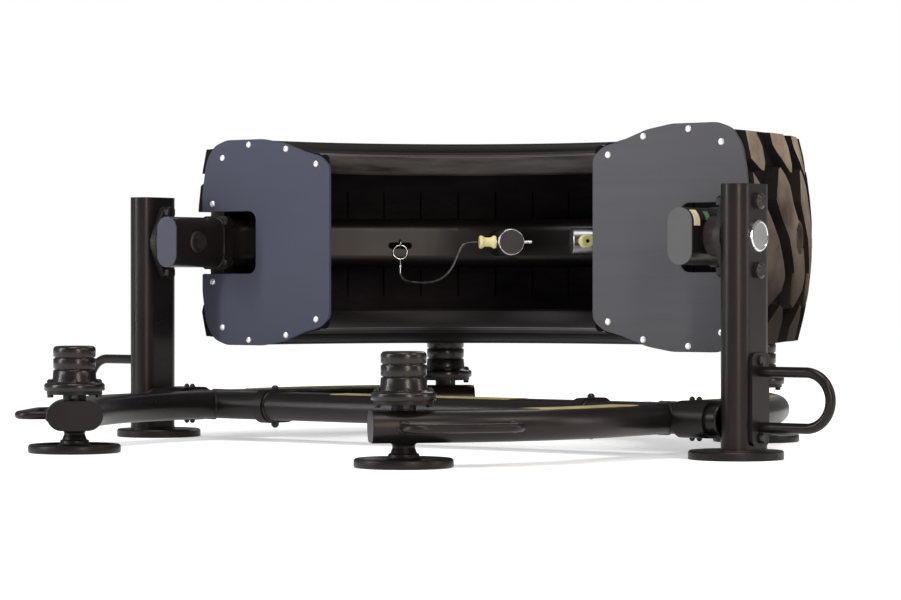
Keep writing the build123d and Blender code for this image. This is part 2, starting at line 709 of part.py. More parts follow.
fittings = []
with BuildPart() as tether_eye:
    with Locations(Plane(origin=eye, x_dir=(0, 0, 1), z_dir=face_along).location):
        Torus(eye_r, eye_wire)
    with Locations(Plane(origin=eye, z_dir=-face_out).location):
        Box(60, 60, 60, align=(Align.CENTER, Align.CENTER, Align.MIN), mode=Mode.SUBTRACT)
fittings.append(tether_eye.part)
with BuildPart() as tether_ring:
    with Locations(Plane(origin=ring_mid, z_dir=face_out).location):
        Torus(ring_r, ring_wire)
fittings.append(tether_ring.part)
with BuildPart() as ferrule:
    with BuildSketch(Plane((ring_mid.X, ring_mid.Y, ferrule_end))):
        Circle(ferrule_r)
    extrude(amount=ferrule_top - ferrule_end)
    with BuildSketch(Plane((ring_mid.X, ring_mid.Y, ferrule_top))):
        Circle(1.1)
    extrude(amount=ring_mid.Z - ring_r - ring_wire - ferrule_top)
fittings.append(ferrule.part)
save(Compound(fittings), "tether_fittings")

# route of the cord from the ferrule to the end of the left grip: x, y from the pivot line, z
grip_hole, grip_pull = pin_frame(left)
grip_end = grip_hole + grip_pull * (grip_start + grip_l + 0.5)
cord_route = [(-424, 441, 379), (-398, 434, 371), (-350, 422, 368), (-300, 409, 370),
              (-258, 398, 382), (-224, 388, 408), (-203, 381, 440), (-188, 379, 461),
              (-171, 389, 465.5)]
cord_points = [Vector(ring_mid.X, ring_mid.Y, cord_start)]
cord_points += [Vector(x, pivot_y + y, z) for x, y, z in cord_route]
cord_points.append(grip_end)
cord_radii = []
for before, here, after in zip(cord_points, cord_points[1:], cord_points[2:]):
    half_turn = (here - before).get_angle(after - here) / 2
    shorter = min((here - before).length, (after - here).length)
    cord_radii.append(0.45 * shorter / tan(radians(half_turn)))
with BuildPart() as tether_cable:
    with BuildLine() as path:
        FilletPolyline(*cord_points, radius=cord_radii)
    with BuildSketch(Plane(origin=path.line @ 0, z_dir=path.line % 0)):
        Circle(cord_r)
    sweep(path=path.line)
save(tether_cable.part, "tether_cable")
cord_length = sum(edge.length for edge in path.edges())
print("cord length", round(cord_length, 1), "volume over section times length",
      round(tether_cable.part.volume / (pi * cord_r ** 2 * cord_length), 4))
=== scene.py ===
"""Tyre-flip exercise machine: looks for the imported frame. All coordinates in metres."""
import json
import math
import random

import bmesh
import bpy
from mathutils import Matrix, Vector, noise


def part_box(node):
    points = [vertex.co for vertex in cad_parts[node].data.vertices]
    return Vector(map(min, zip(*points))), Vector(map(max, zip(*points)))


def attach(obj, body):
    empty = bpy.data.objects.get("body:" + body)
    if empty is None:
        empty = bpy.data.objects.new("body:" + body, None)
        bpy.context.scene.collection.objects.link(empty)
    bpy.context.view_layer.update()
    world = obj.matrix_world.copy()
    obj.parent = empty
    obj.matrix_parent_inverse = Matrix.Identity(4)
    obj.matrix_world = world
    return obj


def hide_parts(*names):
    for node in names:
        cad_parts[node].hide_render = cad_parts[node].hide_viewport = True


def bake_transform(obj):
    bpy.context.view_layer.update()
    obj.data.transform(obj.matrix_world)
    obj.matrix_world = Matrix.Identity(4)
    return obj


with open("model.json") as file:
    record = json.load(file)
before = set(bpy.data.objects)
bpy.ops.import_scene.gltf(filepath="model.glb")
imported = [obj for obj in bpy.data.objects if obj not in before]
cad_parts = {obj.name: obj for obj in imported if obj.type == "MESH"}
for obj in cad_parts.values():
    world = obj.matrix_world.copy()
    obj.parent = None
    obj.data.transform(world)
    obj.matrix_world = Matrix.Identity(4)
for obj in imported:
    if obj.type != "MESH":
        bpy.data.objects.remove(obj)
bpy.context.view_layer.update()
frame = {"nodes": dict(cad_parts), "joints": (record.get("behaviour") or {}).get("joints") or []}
nodes = frame["nodes"]
MM = 0.001

# ------------------------------------------------------------------ places read from the frame
flip = next(j for j in frame["joints"] if j["name"] == "tyre_flip")
PIVOT = Vector(flip["pos_m"])
TYRE_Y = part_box("left_end_plate")[1].y         # cut face of the half tyre
TYRE_MID = Vector((0, TYRE_Y, PIVOT.z))
TUBE_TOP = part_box("centre_beam")[1].z
TUBE_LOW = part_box("centre_beam")[0].z
SIDES = {"left": -1, "right": 1}
ENDS = ("front", "rear")


# ------------------------------------------------------------------ camera
CAMERA_PLACE = (4.3474, PIVOT.y - 5.5480, 0.3623)
CAMERA_TURN, CAMERA_DIP = math.radians(37.652), math.radians(0.269)
CAMERA_LENS = 125.44

camera_data = bpy.data.cameras.new("camera")
camera_data.lens = CAMERA_LENS
camera_data.sensor_width = 36
camera_data.clip_end = 100
camera = bpy.data.objects.new("camera", camera_data)
camera.location = CAMERA_PLACE
camera.rotation_euler = (math.pi / 2 - CAMERA_DIP, 0, CAMERA_TURN)
bpy.context.collection.objects.link(camera)
bpy.context.scene.camera = camera


# ------------------------------------------------------------------ materials
def set_ramp(ramp, stops):
    """Colour ramp from (position, colour) pairs."""
    while len(ramp.elements) < len(stops):
        ramp.elements.new(0.5)
    for element, (place, colour) in zip(ramp.elements, stops):
        element.position = place
        element.color = (*colour, 1)


def add_noise(tree, mapping, scale, detail):
    """Noise texture that follows a mapping."""
    texture = tree.nodes.new("ShaderNodeTexNoise")
    texture.inputs["Scale"].default_value = scale
    texture.inputs["Detail"].default_value = detail
    tree.links.new(mapping.outputs["Vector"], texture.inputs["Vector"])
    return texture


def surface(name, light, dark, rough, scale=6.0, stretch=(1, 1, 1), metallic=0.0, rough_spread=0.12,
            bump=0.15, bump_scale=260.0, bump_depth=0.0004, specular=0.5):
    """Procedural paint, rubber or metal: mottled colour, uneven gloss and a fine bump."""
    material = bpy.data.materials.new(name)
    material.use_nodes = True
    tree = material.node_tree
    shader = tree.nodes["Principled BSDF"]
    shader.inputs["Metallic"].default_value = metallic
    shader.inputs["Specular IOR Level"].default_value = specular
    place = tree.nodes.new("ShaderNodeTexCoord")
    mapping = tree.nodes.new("ShaderNodeMapping")
    mapping.inputs["Scale"].default_value = stretch
    tree.links.new(place.outputs["Object"], mapping.inputs["Vector"])
    cloud = add_noise(tree, mapping, scale, 8)
    cloud.inputs["Roughness"].default_value = 0.62
    ramp = tree.nodes.new("ShaderNodeValToRGB")
    set_ramp(ramp.color_ramp, [(0.3, dark), (0.7, light)])
    tree.links.new(cloud.outputs["Fac"], ramp.inputs["Fac"])
    tree.links.new(ramp.outputs["Color"], shader.inputs["Base Color"])
    gloss = tree.nodes.new("ShaderNodeMapRange")
    gloss.inputs["To Min"].default_value = max(rough - rough_spread, 0.03)
    gloss.inputs["To Max"].default_value = min(rough + rough_spread, 1.0)
    tree.links.new(cloud.outputs["Fac"], gloss.inputs["Value"])
    tree.links.new(gloss.outputs["Result"], shader.inputs["Roughness"])
    grain = add_noise(tree, mapping, bump_scale, 4)
    relief = tree.nodes.new("ShaderNodeBump")
    relief.inputs["Strength"].default_value = bump
    relief.inputs["Distance"].default_value = bump_depth
    tree.links.new(grain.outputs["Fac"], relief.inputs["Height"])
    tree.links.new(relief.outputs["Normal"], shader.inputs["Normal"])
    return material


def shade_along(material, axis, start, stop, tint):
    """Tint a material's colour at one end of an axis, fading out between two places, in metres."""
    tree = material.node_tree
    base = tree.nodes["Principled BSDF"].inputs["Base Color"]
    colour = base.links[0].from_socket
    place = tree.nodes.new("ShaderNodeTexCoord")
    split = tree.nodes.new("ShaderNodeSeparateXYZ")
    tree.links.new(place.outputs["Object"], split.inputs["Vector"])
    fade = tree.nodes.new("ShaderNodeMapRange")
    fade.inputs["From Min"].default_value = start
    fade.inputs["From Max"].default_value = stop
    tree.links.new(split.outputs[axis], fade.inputs["Value"])
    shade = tree.nodes.new("ShaderNodeMix")
    shade.data_type = "RGBA"
    shade.inputs["A"].default_value = (*tint, 1)
    shade.inputs["B"].default_value = (1, 1, 1, 1)
    tree.links.new(fade.outputs["Result"], shade.inputs["Factor"])
    product = tree.nodes.new("ShaderNodeMix")
    product.data_type, product.blend_type = "RGBA", "MULTIPLY"
    product.inputs["Factor"].default_value = 1
    tree.links.new(colour, product.inputs["A"])
    tree.links.new(shade.outputs["Result"], product.inputs["B"])
    tree.links.new(product.outputs["Result"], base)


COAT = surface("powder_coat", (0.0100, 0.0074, 0.0076), (0.0056, 0.0042, 0.0045), 0.32, scale=5,
               bump=0.25, bump_scale=900, bump_depth=0.0002, specular=0.25)
# darker copy of the powder coat: painted shade on the discs, feet, end caps, flanges and other small
# parts
COAT_SHADED = surface("powder_coat_shaded", (0.0080, 0.0060, 0.0062), (0.0040, 0.0030, 0.0032), 0.40,
                    scale=8, bump=0.25, bump_scale=900, bump_depth=0.0002, specular=0.24)
FASTENER = surface("black_fastener", (0.030, 0.026, 0.025), (0.013, 0.011, 0.011), 0.34, scale=60,
                   metallic=0.3, specular=0.35)
LUG_RUBBER = surface("tread_rubber", (0.300, 0.240, 0.185), (0.060, 0.046, 0.036), 0.86, scale=7,
                     rough_spread=0.08, bump=0.5, bump_scale=140, bump_depth=0.0010, specular=0.12)
CASING_RUBBER = surface("casing_rubber", (0.0100, 0.0074, 0.0074), (0.0036, 0.0027, 0.0028), 0.70,
                        scale=7, stretch=(1, 1, 3), bump=0.5, bump_scale=150, bump_depth=0.0009,
                        specular=0.05)
BOSS_RUBBER = surface("boss_rubber", (0.052, 0.042, 0.034), (0.018, 0.0145, 0.012), 0.7, scale=30,
                      bump=0.4, bump_scale=200, specular=0.2)
GROOVE_RUBBER = surface("groove_rubber", (0.0130, 0.0098, 0.0085), (0.0042, 0.0032, 0.0030), 0.80,
                        scale=12, bump=0.6, bump_scale=160, bump_depth=0.001, specular=0.10)
# lighter rubber of the beads: worn rubber, and painted light where the bead's inner face is lit
BEAD_WORN_AND_LIT = surface("bead_rubber_worn_and_lit", (0.058, 0.049, 0.046), (0.008, 0.0064, 0.0066), 0.48, scale=6,
                      stretch=(1, 1, 9), bump=0.45, bump_scale=120, bump_depth=0.0007, specular=0.22)
BUFFER_RUBBER = surface("buffer_rubber", (0.0090, 0.0074, 0.0080), (0.0046, 0.0038, 0.0042), 0.27,
                        scale=14, bump=0.2, bump_scale=500, specular=0.38)
PLATE_LEFT = surface("plate_blue_grey", (0.055, 0.057, 0.084), (0.046, 0.048, 0.072), 0.55, scale=3,
                     stretch=(1, 1, 3), bump=0.08, bump_scale=420, specular=0.2)
PLATE_RIGHT = surface("plate_grey", (0.078, 0.076, 0.083), (0.065, 0.063, 0.070), 0.52, scale=3,
                      stretch=(0.6, 1, 9), bump=0.12, bump_scale=300, specular=0.2)
LINING_RUBBER = surface("lining_rubber", (0.0520, 0.0390, 0.0370), (0.0130, 0.0096, 0.0096), 0.72,
                        scale=5, stretch=(1, 1, 3), bump=0.4, bump_scale=130, bump_depth=0.0008,
                        specular=0.10)
# very dark rubber: the lining seams' own colour, and painted shade on the beam's slot sheet
SEAM_AND_SLOT_SHADE = surface("seam_rubber_and_slot_shade", (0.0030, 0.0022, 0.0024), (0.0014, 0.0010, 0.0012), 0.8, scale=40,
                      bump=0.3, bump_scale=300, specular=0.04)
HORN_STEEL = surface("horn_steel", (0.36, 0.35, 0.36), (0.24, 0.235, 0.24), 0.30, scale=40,
                     metallic=1.0, bump=0.1, bump_scale=900)
CREAM = surface("cream_mark", (0.70, 0.62, 0.46), (0.52, 0.44, 0.30), 0.5, scale=80, bump=0.1)
GREEN = surface("green_mark", (0.10, 0.24, 0.14), (0.05, 0.13, 0.08), 0.5, scale=80, bump=0.1)
CAP_LIGHT_GREY = surface("cap_light_grey", (0.094, 0.093, 0.094), (0.082, 0.081, 0.082), 0.52, scale=12,
                         bump=0.08, bump_scale=500, specular=0.2)
CAP_GREY = surface("cap_grey", (0.20, 0.20, 0.21), (0.15, 0.15, 0.16), 0.46, scale=20,
                   bump=0.08, bump_scale=500, specular=0.3)
HORN_FACE = surface("horn_face_paint", (0.035, 0.031, 0.032), (0.025, 0.022, 0.023), 0.5, scale=22,
                    bump=0.1, bump_scale=500, specular=0.25)
BRIGHT = surface("bright_steel", (0.72, 0.72, 0.74), (0.50, 0.50, 0.52), 0.24, scale=40, metallic=1.0,
                 bump=0.1, bump_scale=900)
DULL_STEEL = surface("dull_steel", (0.30, 0.29, 0.30), (0.15, 0.14, 0.145), 0.38, scale=60,
                     metallic=1.0, bump=0.2, bump_scale=900)
CHROME = surface("chrome", (0.80, 0.80, 0.82), (0.68, 0.68, 0.70), 0.10, scale=30, metallic=1.0,
                 rough_spread=0.05, bump=0.04, bump_scale=600)
RIVET = surface("rivet_metal", (0.86, 0.86, 0.88), (0.62, 0.62, 0.64), 0.32, scale=120, metallic=0.6,
                bump=0.2, bump_scale=900)
YELLOW = surface("grip_yellow", (0.78, 0.70, 0.36), (0.62, 0.54, 0.25), 0.50, scale=60,
                 bump=0.25, bump_scale=700, specular=0.3)
STRIPE = surface("stripe_yellow", (0.46, 0.40, 0.19), (0.24, 0.20, 0.10), 0.55, scale=18,
                 bump=0.1, bump_scale=600, specular=0.25)
CORD = surface("cord_sleeve", (0.130, 0.122, 0.124), (0.050, 0.047, 0.048), 0.26, scale=90,
               bump=0.6, bump_scale=1400, bump_depth=0.0003, specular=0.6)
IRON = surface("bearing_iron", (0.022, 0.018, 0.018), (0.0085, 0.0072, 0.0075), 0.42, scale=30,
               bump=0.7, bump_scale=420, bump_depth=0.0005, specular=0.3)
WELD = surface("weld_coat", (0.020, 0.0165, 0.017), (0.010, 0.0085, 0.0088), 0.36, scale=70,
               bump=0.7, bump_scale=300, bump_depth=0.0005, specular=0.3)

for dark_skin in (COAT, COAT_SHADED, BUFFER_RUBBER, CASING_RUBBER, BEAD_WORN_AND_LIT, FASTENER, IRON, WELD):
    dark_shader = dark_skin.node_tree.nodes["Principled BSDF"]
    dark_shader.inputs["Specular Tint"].default_value = (1.0, 0.92, 0.87, 1)
# painted shade: the lugs, casing and bead darker towards the bottom, as if shaded from a light above
shade_along(LUG_RUBBER, "Z", 0.30, 0.72, (0.08, 0.066, 0.055))
shade_along(CASING_RUBBER, "Z", 0.25, 0.60, (0.50, 0.47, 0.47))
shade_along(BEAD_WORN_AND_LIT, "Z", 0.34, 0.62, (0.08, 0.07, 0.08))
# painted shade: the lining darker and bluer towards its left, lighter on its right part where light falls
shade_along(LINING_RUBBER, "X", 0.02, 0.55, (0.50, 0.46, 0.58))
shade_along(CAP_LIGHT_GREY, "X", -0.5, 0.5, (0.66, 0.65, 0.92))


def paint(material, *names):
    """Give carried-over CAD nodes a material."""
    for name in names:
        for piece_slot in nodes[name].material_slots:
            piece_slot.material = material


for name in nodes:
    paint(COAT, name)
# painted shade: these parts get the darker copy of the powder coat
paint(COAT_SHADED, "post_discs", "levelling_stems", "tube_end_caps", "clamp_sleeves", "joint_flanges",
      "bumper_seats", "handle_plates", "arm_flanges", "tyre_brackets")
paint(COAT_SHADED, *[n for n in nodes if n.endswith("_foot")])
paint(FASTENER, "frame_bolts", "bearing_bolts", "arm_fasteners", "bumper_bolts", "tread_bolts")
paint(IRON, "bearing_housings")
paint(BRIGHT, "left_pin", "right_pin", "tether_fittings")
paint(DULL_STEEL, "pivot_shafts", "bearing_rings")
paint(CAP_LIGHT_GREY, "arm_caps")


# ------------------------------------------------------------------ mesh helpers
def smooth_faces(mesh, angle):
    """Shade faces smooth, with sharp edges where they meet at more than an angle, in degrees."""
    mesh.polygons.foreach_set("use_smooth", [True] * len(mesh.polygons))
    mesh.set_sharp_from_angle(angle=math.radians(angle))


def finish_piece(name, mesh, material, body, replaced=(), angle=35):
    """Put a mesh in the scene as a piece that rides on a body."""
    mesh.update()
    piece = bpy.data.objects.new(name, mesh)
    bpy.context.collection.objects.link(piece)
    if material is not None:
        mesh.materials.append(material)
    smooth_faces(mesh, angle)
    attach(piece, body)
    if replaced:
        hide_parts(*replaced)
    return piece


def to_mesh(name, bm):
    """Turn a bmesh into a mesh with outward faces."""
    bmesh.ops.recalc_face_normals(bm, faces=bm.faces)
    mesh = bpy.data.meshes.new(name)
    bm.to_mesh(mesh)
    bm.free()
    return mesh


def add_lathe(bm, profile, place, axis=Vector((0, 0, 1)), steps=48, material_index=0, bands=()):
    """Revolve (radius, height) points, in mm, about an axis through place, and close both ends.

    bands gives the first rows their own material index."""
    turn = Vector((0, 0, 1)).rotation_difference(Vector(axis)).to_matrix()
    rings = []
    for radius, height in profile:
        if radius < 1e-6:
            rings.append([bm.verts.new(place + turn @ Vector((0, 0, height * MM)))])
            continue
        ring = []
        for k in range(steps):
            a = 2 * math.pi * k / steps
            offset = Vector((radius * math.cos(a), radius * math.sin(a), height)) * MM
            ring.append(bm.verts.new(place + turn @ offset))
        rings.append(ring)
    for row, (low, high) in enumerate(zip(rings, rings[1:])):
        index = bands[row] if row < len(bands) else material_index
        for k in range(steps):
            n = (k + 1) % steps
            corners = [low[k % len(low)], low[n % len(low)], high[n % len(high)], high[k % len(high)]]
            unique = list(dict.fromkeys(corners))
            if len(unique) > 2:
                bm.faces.new(unique).material_index = index
    for ring in (rings[0], rings[-1]):
        if len(ring) > 1:
            bm.faces.new(ring).material_index = material_index


def add_tube(bm, points, radius, steps=12, closed=False, wobble=0.0, seed=0):
    """Round tube along points. The radius is one number or one for each point.

    wobble varies it by up to that share, as in a weld bead, and seed picks the variation."""
    count = len(points)
    rings = []
    up = Vector((0, 0, 1))
    for k, point in enumerate(points):
        before = points[(k - 1) % count] if closed or k else point
        after = points[(k + 1) % count] if closed or k < count - 1 else point
        along = (after - before).normalized()
        side = along.cross(up)
        if side.length < 0.05:
            side = along.cross(Vector((1, 0, 0)))
        side.normalize()
        lift = side.cross(along)
        r = radius[k] if isinstance(radius, list) else radius
        r *= 1 + wobble * noise.noise(Vector((k * 0.55, seed, 0)))
        ring = []
        for s in range(steps):
            a = 2 * math.pi * s / steps
            ring.append(bm.verts.new(point + (side * math.cos(a) + lift * math.sin(a)) * r))
        rings.append(ring)
    pairs = list(zip(rings, rings[1:]))
    if closed:
        pairs.append((rings[-1], rings[0]))
    for low, high in pairs:
        for s in range(steps):
            n = (s + 1) % steps
            bm.faces.new((low[s], low[n], high[n], high[s]))
    if not closed:
        bm.faces.new(rings[0])
        bm.faces.new(rings[-1])


def add_prism(bm, near, far):
    """Walls between two matching loops, closed at both ends. Returns the near end's face."""
    for k in range(len(near)):
        n = (k + 1) % len(near)
        bm.faces.new((near[k], near[n], far[n], far[k]))
    near_face = bm.faces.new(near)
    bm.faces.new(far)
    return near_face


def rounded_outline(points, radii, steps=7):
    """Closed 2-D outline with each corner turned into an arc."""
    out = []
    count = len(points)
    for k in range(count):
        here = Vector(points[k])
        back, ahead = Vector(points[k - 1]) - here, Vector(points[(k + 1) % count]) - here
        radius = radii[k] if isinstance(radii, (list, tuple)) else radii
        half = back.angle(ahead) / 2
        if math.pi / 2 - half < 0.02:
            out.append(here)
            continue
        reach = min(radius / math.tan(half), 0.48 * back.length, 0.48 * ahead.length)
        radius = reach * math.tan(half)
        middle = here + (back.normalized() + ahead.normalized()).normalized() * radius / math.sin(half)
        start = here + back.normalized() * reach - middle
        end = here + ahead.normalized() * reach - middle
        sweep = start.angle_signed(end)
        for s in range(steps + 1):
            out.append(middle + Matrix.Rotation(-sweep * s / steps, 2) @ start)
    return out


def cut(piece, cutter):
    """Boolean difference, applied to the mesh."""
    modifier = piece.modifiers.new("cut", "BOOLEAN")
    modifier.operation = "DIFFERENCE"
    modifier.solver = "EXACT"
    modifier.object = cutter
    depsgraph = bpy.context.evaluated_depsgraph_get()
    made = bpy.data.meshes.new_from_object(piece.evaluated_get(depsgraph))
    piece.modifiers.clear()
    piece.data = made


# ------------------------------------------------------------------ half tyre
CROWN_R, GROOVE_R, BOLT_R = 802, 764, 776
LUGS, LUG_SHIFT = 16, 11.25
LINING_R = 717
SKIN = [(GROOVE_R, 0), (GROOVE_R, 60), (762, 110), (759, 155), (757, 195), (752, 218), (740, 229),
        (714, 232.5), (662, 234), (648, 241), (612, 245.5), (570, 241), (562, 237), (554, 239),
        (520, 232), (480, 223), (472, 217), (464, 218), (430, 210), (412, 208), (404, 203), (396, 205),
        (386, 203), (381, 197), (380, 190)]
LINING = [(380, 171), (383, 164), (392, 160), (402, 163), (412, 168), (434, 175), (480, 185),
          (560, 198), (640, 202), (672, 197), (695, 183), (708, 167), (715, 147), (LINING_R, 110),
          (LINING_R, 0)]
BEAD_ROWS, LINING_ROWS = range(18, 28), range(28, 39)      # rows with their own rubber; the bead rows are lighter from wear and from painted light on their lit inner face
CASING_STEPS = 120


def on_tyre(angle, radius, height):
    """Point at an angle round the tyre, in degrees from the right cut face; mm from its middle."""
    a = math.radians(angle)
    return TYRE_MID + Vector((radius * math.cos(a), radius * math.sin(a), height)) * MM


def tyre_casing():
    """Casing without lugs: sidewalls, ribs, beads and lining, closed at both cut faces."""
    bm = bmesh.new()
    upper = SKIN + LINING
    lower = [(r, -h) for r, h in reversed(upper)][1:-1]
    section = upper + lower
    last = 2 * (len(upper) - 1) - 1
    rubber = {row: 1 for row in BEAD_ROWS} | {row: 2 for row in LINING_ROWS}
    rubber |= {last - row: kind for row, kind in rubber.items()}
    rings = []
    for step in range(CASING_STEPS + 1):
        angle = 0.03 + (180 - 0.06) * step / CASING_STEPS
        rings.append([bm.verts.new(on_tyre(angle, r, h)) for r, h in section])
    for low, high in zip(rings, rings[1:]):
        for k in range(len(section)):
            n = (k + 1) % len(section)
            face = bm.faces.new((low[k], low[n], high[n], high[k]))
            face.material_index = rubber.get(k, 0)
    bm.faces.new(rings[0])
    bm.faces.new(rings[-1])
    return to_mesh("tyre_casing", bm)


LUG_OUTLINE = [(-2.4, 146), (-4.6, 80), (-2.75, 38), (0.1, -2), (3.0, -76), (3.1, -100), (3.4, -144),
               (4.6, -152), (9.2, -114), (10.0, -90), (9.8, -73), (7.2, -8), (4.4, 42), (2.6, 74),
               (2.1, 108), (0.2, 136), (-1.5, 152)]
UPPER_BLOCK = [(-3, 226), (-3, 200), (-2, 186), (2.5, 144), (3.5, 142), (4.25, 160), (4.25, 196),
               (3.2, 226)]
LOWER_BLOCK = [(9.25, -145), (10.6, -151), (11.5, -175), (11.5, -226), (5.25, -226), (5.0, -195)]
ARC = math.radians(1) * CROWN_R          # arc length of one degree at the crown
LUG_DEPTH, LUG_DRAFT, LUG_ROUND, LUG_TOP_BAND = 40, 5, 5, 6


def crown(height):
    """Outer radius of the lugs, which falls away towards the shoulders."""
    return CROWN_R - 2 - 6e-4 * height * height


def lug_block(bm, outline, turn, random_source):
    """One rubber block: a prism bent round the tyre, with drafted sides and a soft upper edge."""
    flat = bmesh.new()
    top = [flat.verts.new((x * ARC, y, 1.0)) for x, y in outline]
    lid = flat.faces.new(top)
    lid.normal_update()
    if lid.normal.z < 0:
        lid.normal_flip()
    made = bmesh.ops.extrude_face_region(flat, geom=[lid])
    walls = [v for v in made["geom"] if isinstance(v, bmesh.types.BMVert)]
    middle = Vector((sum(v.co.x for v in walls), sum(v.co.y for v in walls), 0)) / len(walls)
    for vertex in walls:
        away = (Vector((vertex.co.x, vertex.co.y, 0)) - middle).normalized()
        vertex.co = vertex.co + away * LUG_DRAFT
        vertex.co.z = 0.0
    bmesh.ops.recalc_face_normals(flat, faces=flat.faces)
    rim = [e for e in flat.edges if all(v.co.z > 0.5 for v in e.verts) and len(e.link_faces) == 2
           and any(abs(f.normal.z) < 0.9 for f in e.link_faces)]
    for vertex in flat.verts:
        vertex.co.z *= LUG_DEPTH
    bmesh.ops.bevel(flat, geom=rim, offset=LUG_ROUND, segments=2, profile=0.5, affect="EDGES")
    for number in range(-4, 8):
        cut_at = number * 2.5 * ARC
        bmesh.ops.bisect_plane(flat, geom=flat.verts[:] + flat.edges[:] + flat.faces[:],
                               plane_co=(cut_at, 0, 0), plane_no=(1, 0, 0))
    for number in range(-4, 5):
        bmesh.ops.bisect_plane(flat, geom=flat.verts[:] + flat.edges[:] + flat.faces[:],
                               plane_co=(0, number * 45, 0), plane_no=(0, 1, 0))
    worn = random_source.uniform(-1.0, 1.0)
    index = {}
    for vertex in flat.verts:
        height = vertex.co.y
        foot = GROOVE_R - 8 - 4e-4 * height * height * (2.1 if abs(height) > 190 else 1.4)
        radius = foot + (crown(height) + worn - foot) * vertex.co.z / LUG_DEPTH
        index[vertex] = bm.verts.new(on_tyre(turn + vertex.co.x / ARC, radius, height))
    for face in flat.faces:
        made_face = bm.faces.new([index[v] for v in face.verts])
        on_top = min(v.co.z for v in face.verts) > LUG_DEPTH - LUG_TOP_BAND
        made_face.material_index = 0 if on_top else 1
    flat.free()


def tread_lugs():
    """All tread blocks, trimmed at the two cut faces."""
    bm = bmesh.new()
    chance = random.Random(7)
    for number in range(-1, LUGS + 1):
        turn = number * LUG_SHIFT
        for outline in (LUG_OUTLINE, UPPER_BLOCK, LOWER_BLOCK):
            lug_block(bm, outline, turn, chance)
    bmesh.ops.bisect_plane(bm, geom=bm.verts[:] + bm.edges[:] + bm.faces[:], dist=1e-6,
                           plane_co=TYRE_MID + Vector((0, 0.0006, 0)), plane_no=(0, -1, 0),
                           clear_outer=True)
    open_edges = [e for e in bm.edges if e.is_boundary]
    for face in bmesh.ops.holes_fill(bm, edges=open_edges, sides=0)["faces"]:
        face.material_index = 1
    return to_mesh("tread_lugs", bm)


SLOT_IN_X, SLOT_HALF, SLOT_DEPTH = 607, 75, 45
SLOT_INNER_R, SLOT_INNER_DEPTH = 768, 150


def slot_cutter():
    """Two blocks that open the tread where the arms enter it."""
    bm = bmesh.new()
    outline = rounded_outline([(SLOT_IN_X, SLOT_HALF), (900, SLOT_HALF), (900, -SLOT_HALF),
                               (SLOT_IN_X, -SLOT_HALF)], 24)
    for side in (-1, 1):
        near = [bm.verts.new(TYRE_MID + Vector((side * p.x, -40, p.y)) * MM) for p in outline]
        far = [bm.verts.new(TYRE_MID + Vector((side * p.x, SLOT_DEPTH, p.y)) * MM) for p in outline]
        add_prism(bm, near, far)
    return to_mesh("slot_cutter", bm)


def relief_cutter():
    """Two blocks that hollow the inside of the tread further in, round the bent beam."""
    bm = bmesh.new()
    for side in (-1, 1):
        outline = [Vector((SLOT_IN_X, -40)), Vector((SLOT_INNER_R, -40))]
        for k in range(9):
            y = SLOT_INNER_DEPTH * k / 8
            outline.append(Vector((math.sqrt(SLOT_INNER_R ** 2 - y * y) - 6, y)))
        outline.append(Vector((SLOT_IN_X, SLOT_INNER_DEPTH)))
        low = [bm.verts.new(TYRE_MID + Vector((side * p.x, p.y, -SLOT_HALF)) * MM) for p in outline]
        high = [bm.verts.new(TYRE_MID + Vector((side * p.x, p.y, SLOT_HALF)) * MM) for p in outline]
        add_prism(bm, low, high)
    return to_mesh("relief_cutter", bm)


BOLT_ANGLES = (17, 65, 115, 163)


def pocket_cutter():
    """Round pockets for the tread bolts."""
    bm = bmesh.new()
    for angle in BOLT_ANGLES:
        out = (on_tyre(angle, 1, 0) - TYRE_MID).normalized()
        add_lathe(bm, [(36, 0), (36, 60)], on_tyre(angle, BOLT_R, 0), out)
    return to_mesh("pocket_cutter", bm)


def cutter_object(mesh):
    """Put a cutter's mesh in the scene, to be removed after the cuts."""
    cutter = bpy.data.objects.new(mesh.name, mesh)
    bpy.context.collection.objects.link(cutter)
    return cutter


casing_mesh = tyre_casing()
casing_mesh.materials.append(CASING_RUBBER)
casing_mesh.materials.append(BEAD_WORN_AND_LIT)
casing_mesh.materials.append(LINING_RUBBER)
casing = bpy.data.objects.new("tyre_casing", casing_mesh)
bpy.context.collection.objects.link(casing)
lugs_mesh = tread_lugs()
lugs_mesh.materials.append(LUG_RUBBER)
lugs_mesh.materials.append(GROOVE_RUBBER)
lugs = bpy.data.objects.new("tread_lugs", lugs_mesh)
bpy.context.collection.objects.link(lugs)
arm_slots = cutter_object(slot_cutter())
reliefs = cutter_object(relief_cutter())
pockets = cutter_object(pocket_cutter())
bosses_bm = bmesh.new()
for angle in BOLT_ANGLES:
    out = (on_tyre(angle, 1, 0) - TYRE_MID).normalized()
    add_lathe(bosses_bm, [(40, -14), (40, 17), (38.5, 19), (35.5, 19), (34, 16), (34, 11), (31, 11),
                          (30, 13.5), (27.5, 13.5), (26.5, 9), (0, 9)], on_tyre(angle, BOLT_R, 0), out)
finish_piece("tread_bosses", to_mesh("tread_bosses", bosses_bm), BOSS_RUBBER, "tyre_frame")
cut(casing, arm_slots)
cut(casing, reliefs)
cut(lugs, arm_slots)
cut(lugs, pockets)
for cutter in (arm_slots, reliefs, pockets):
    bpy.data.objects.remove(cutter)
for piece in (casing, lugs):
    smooth_faces(piece.data, 38)
    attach(piece, "tyre_frame")
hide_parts("half_tyre")

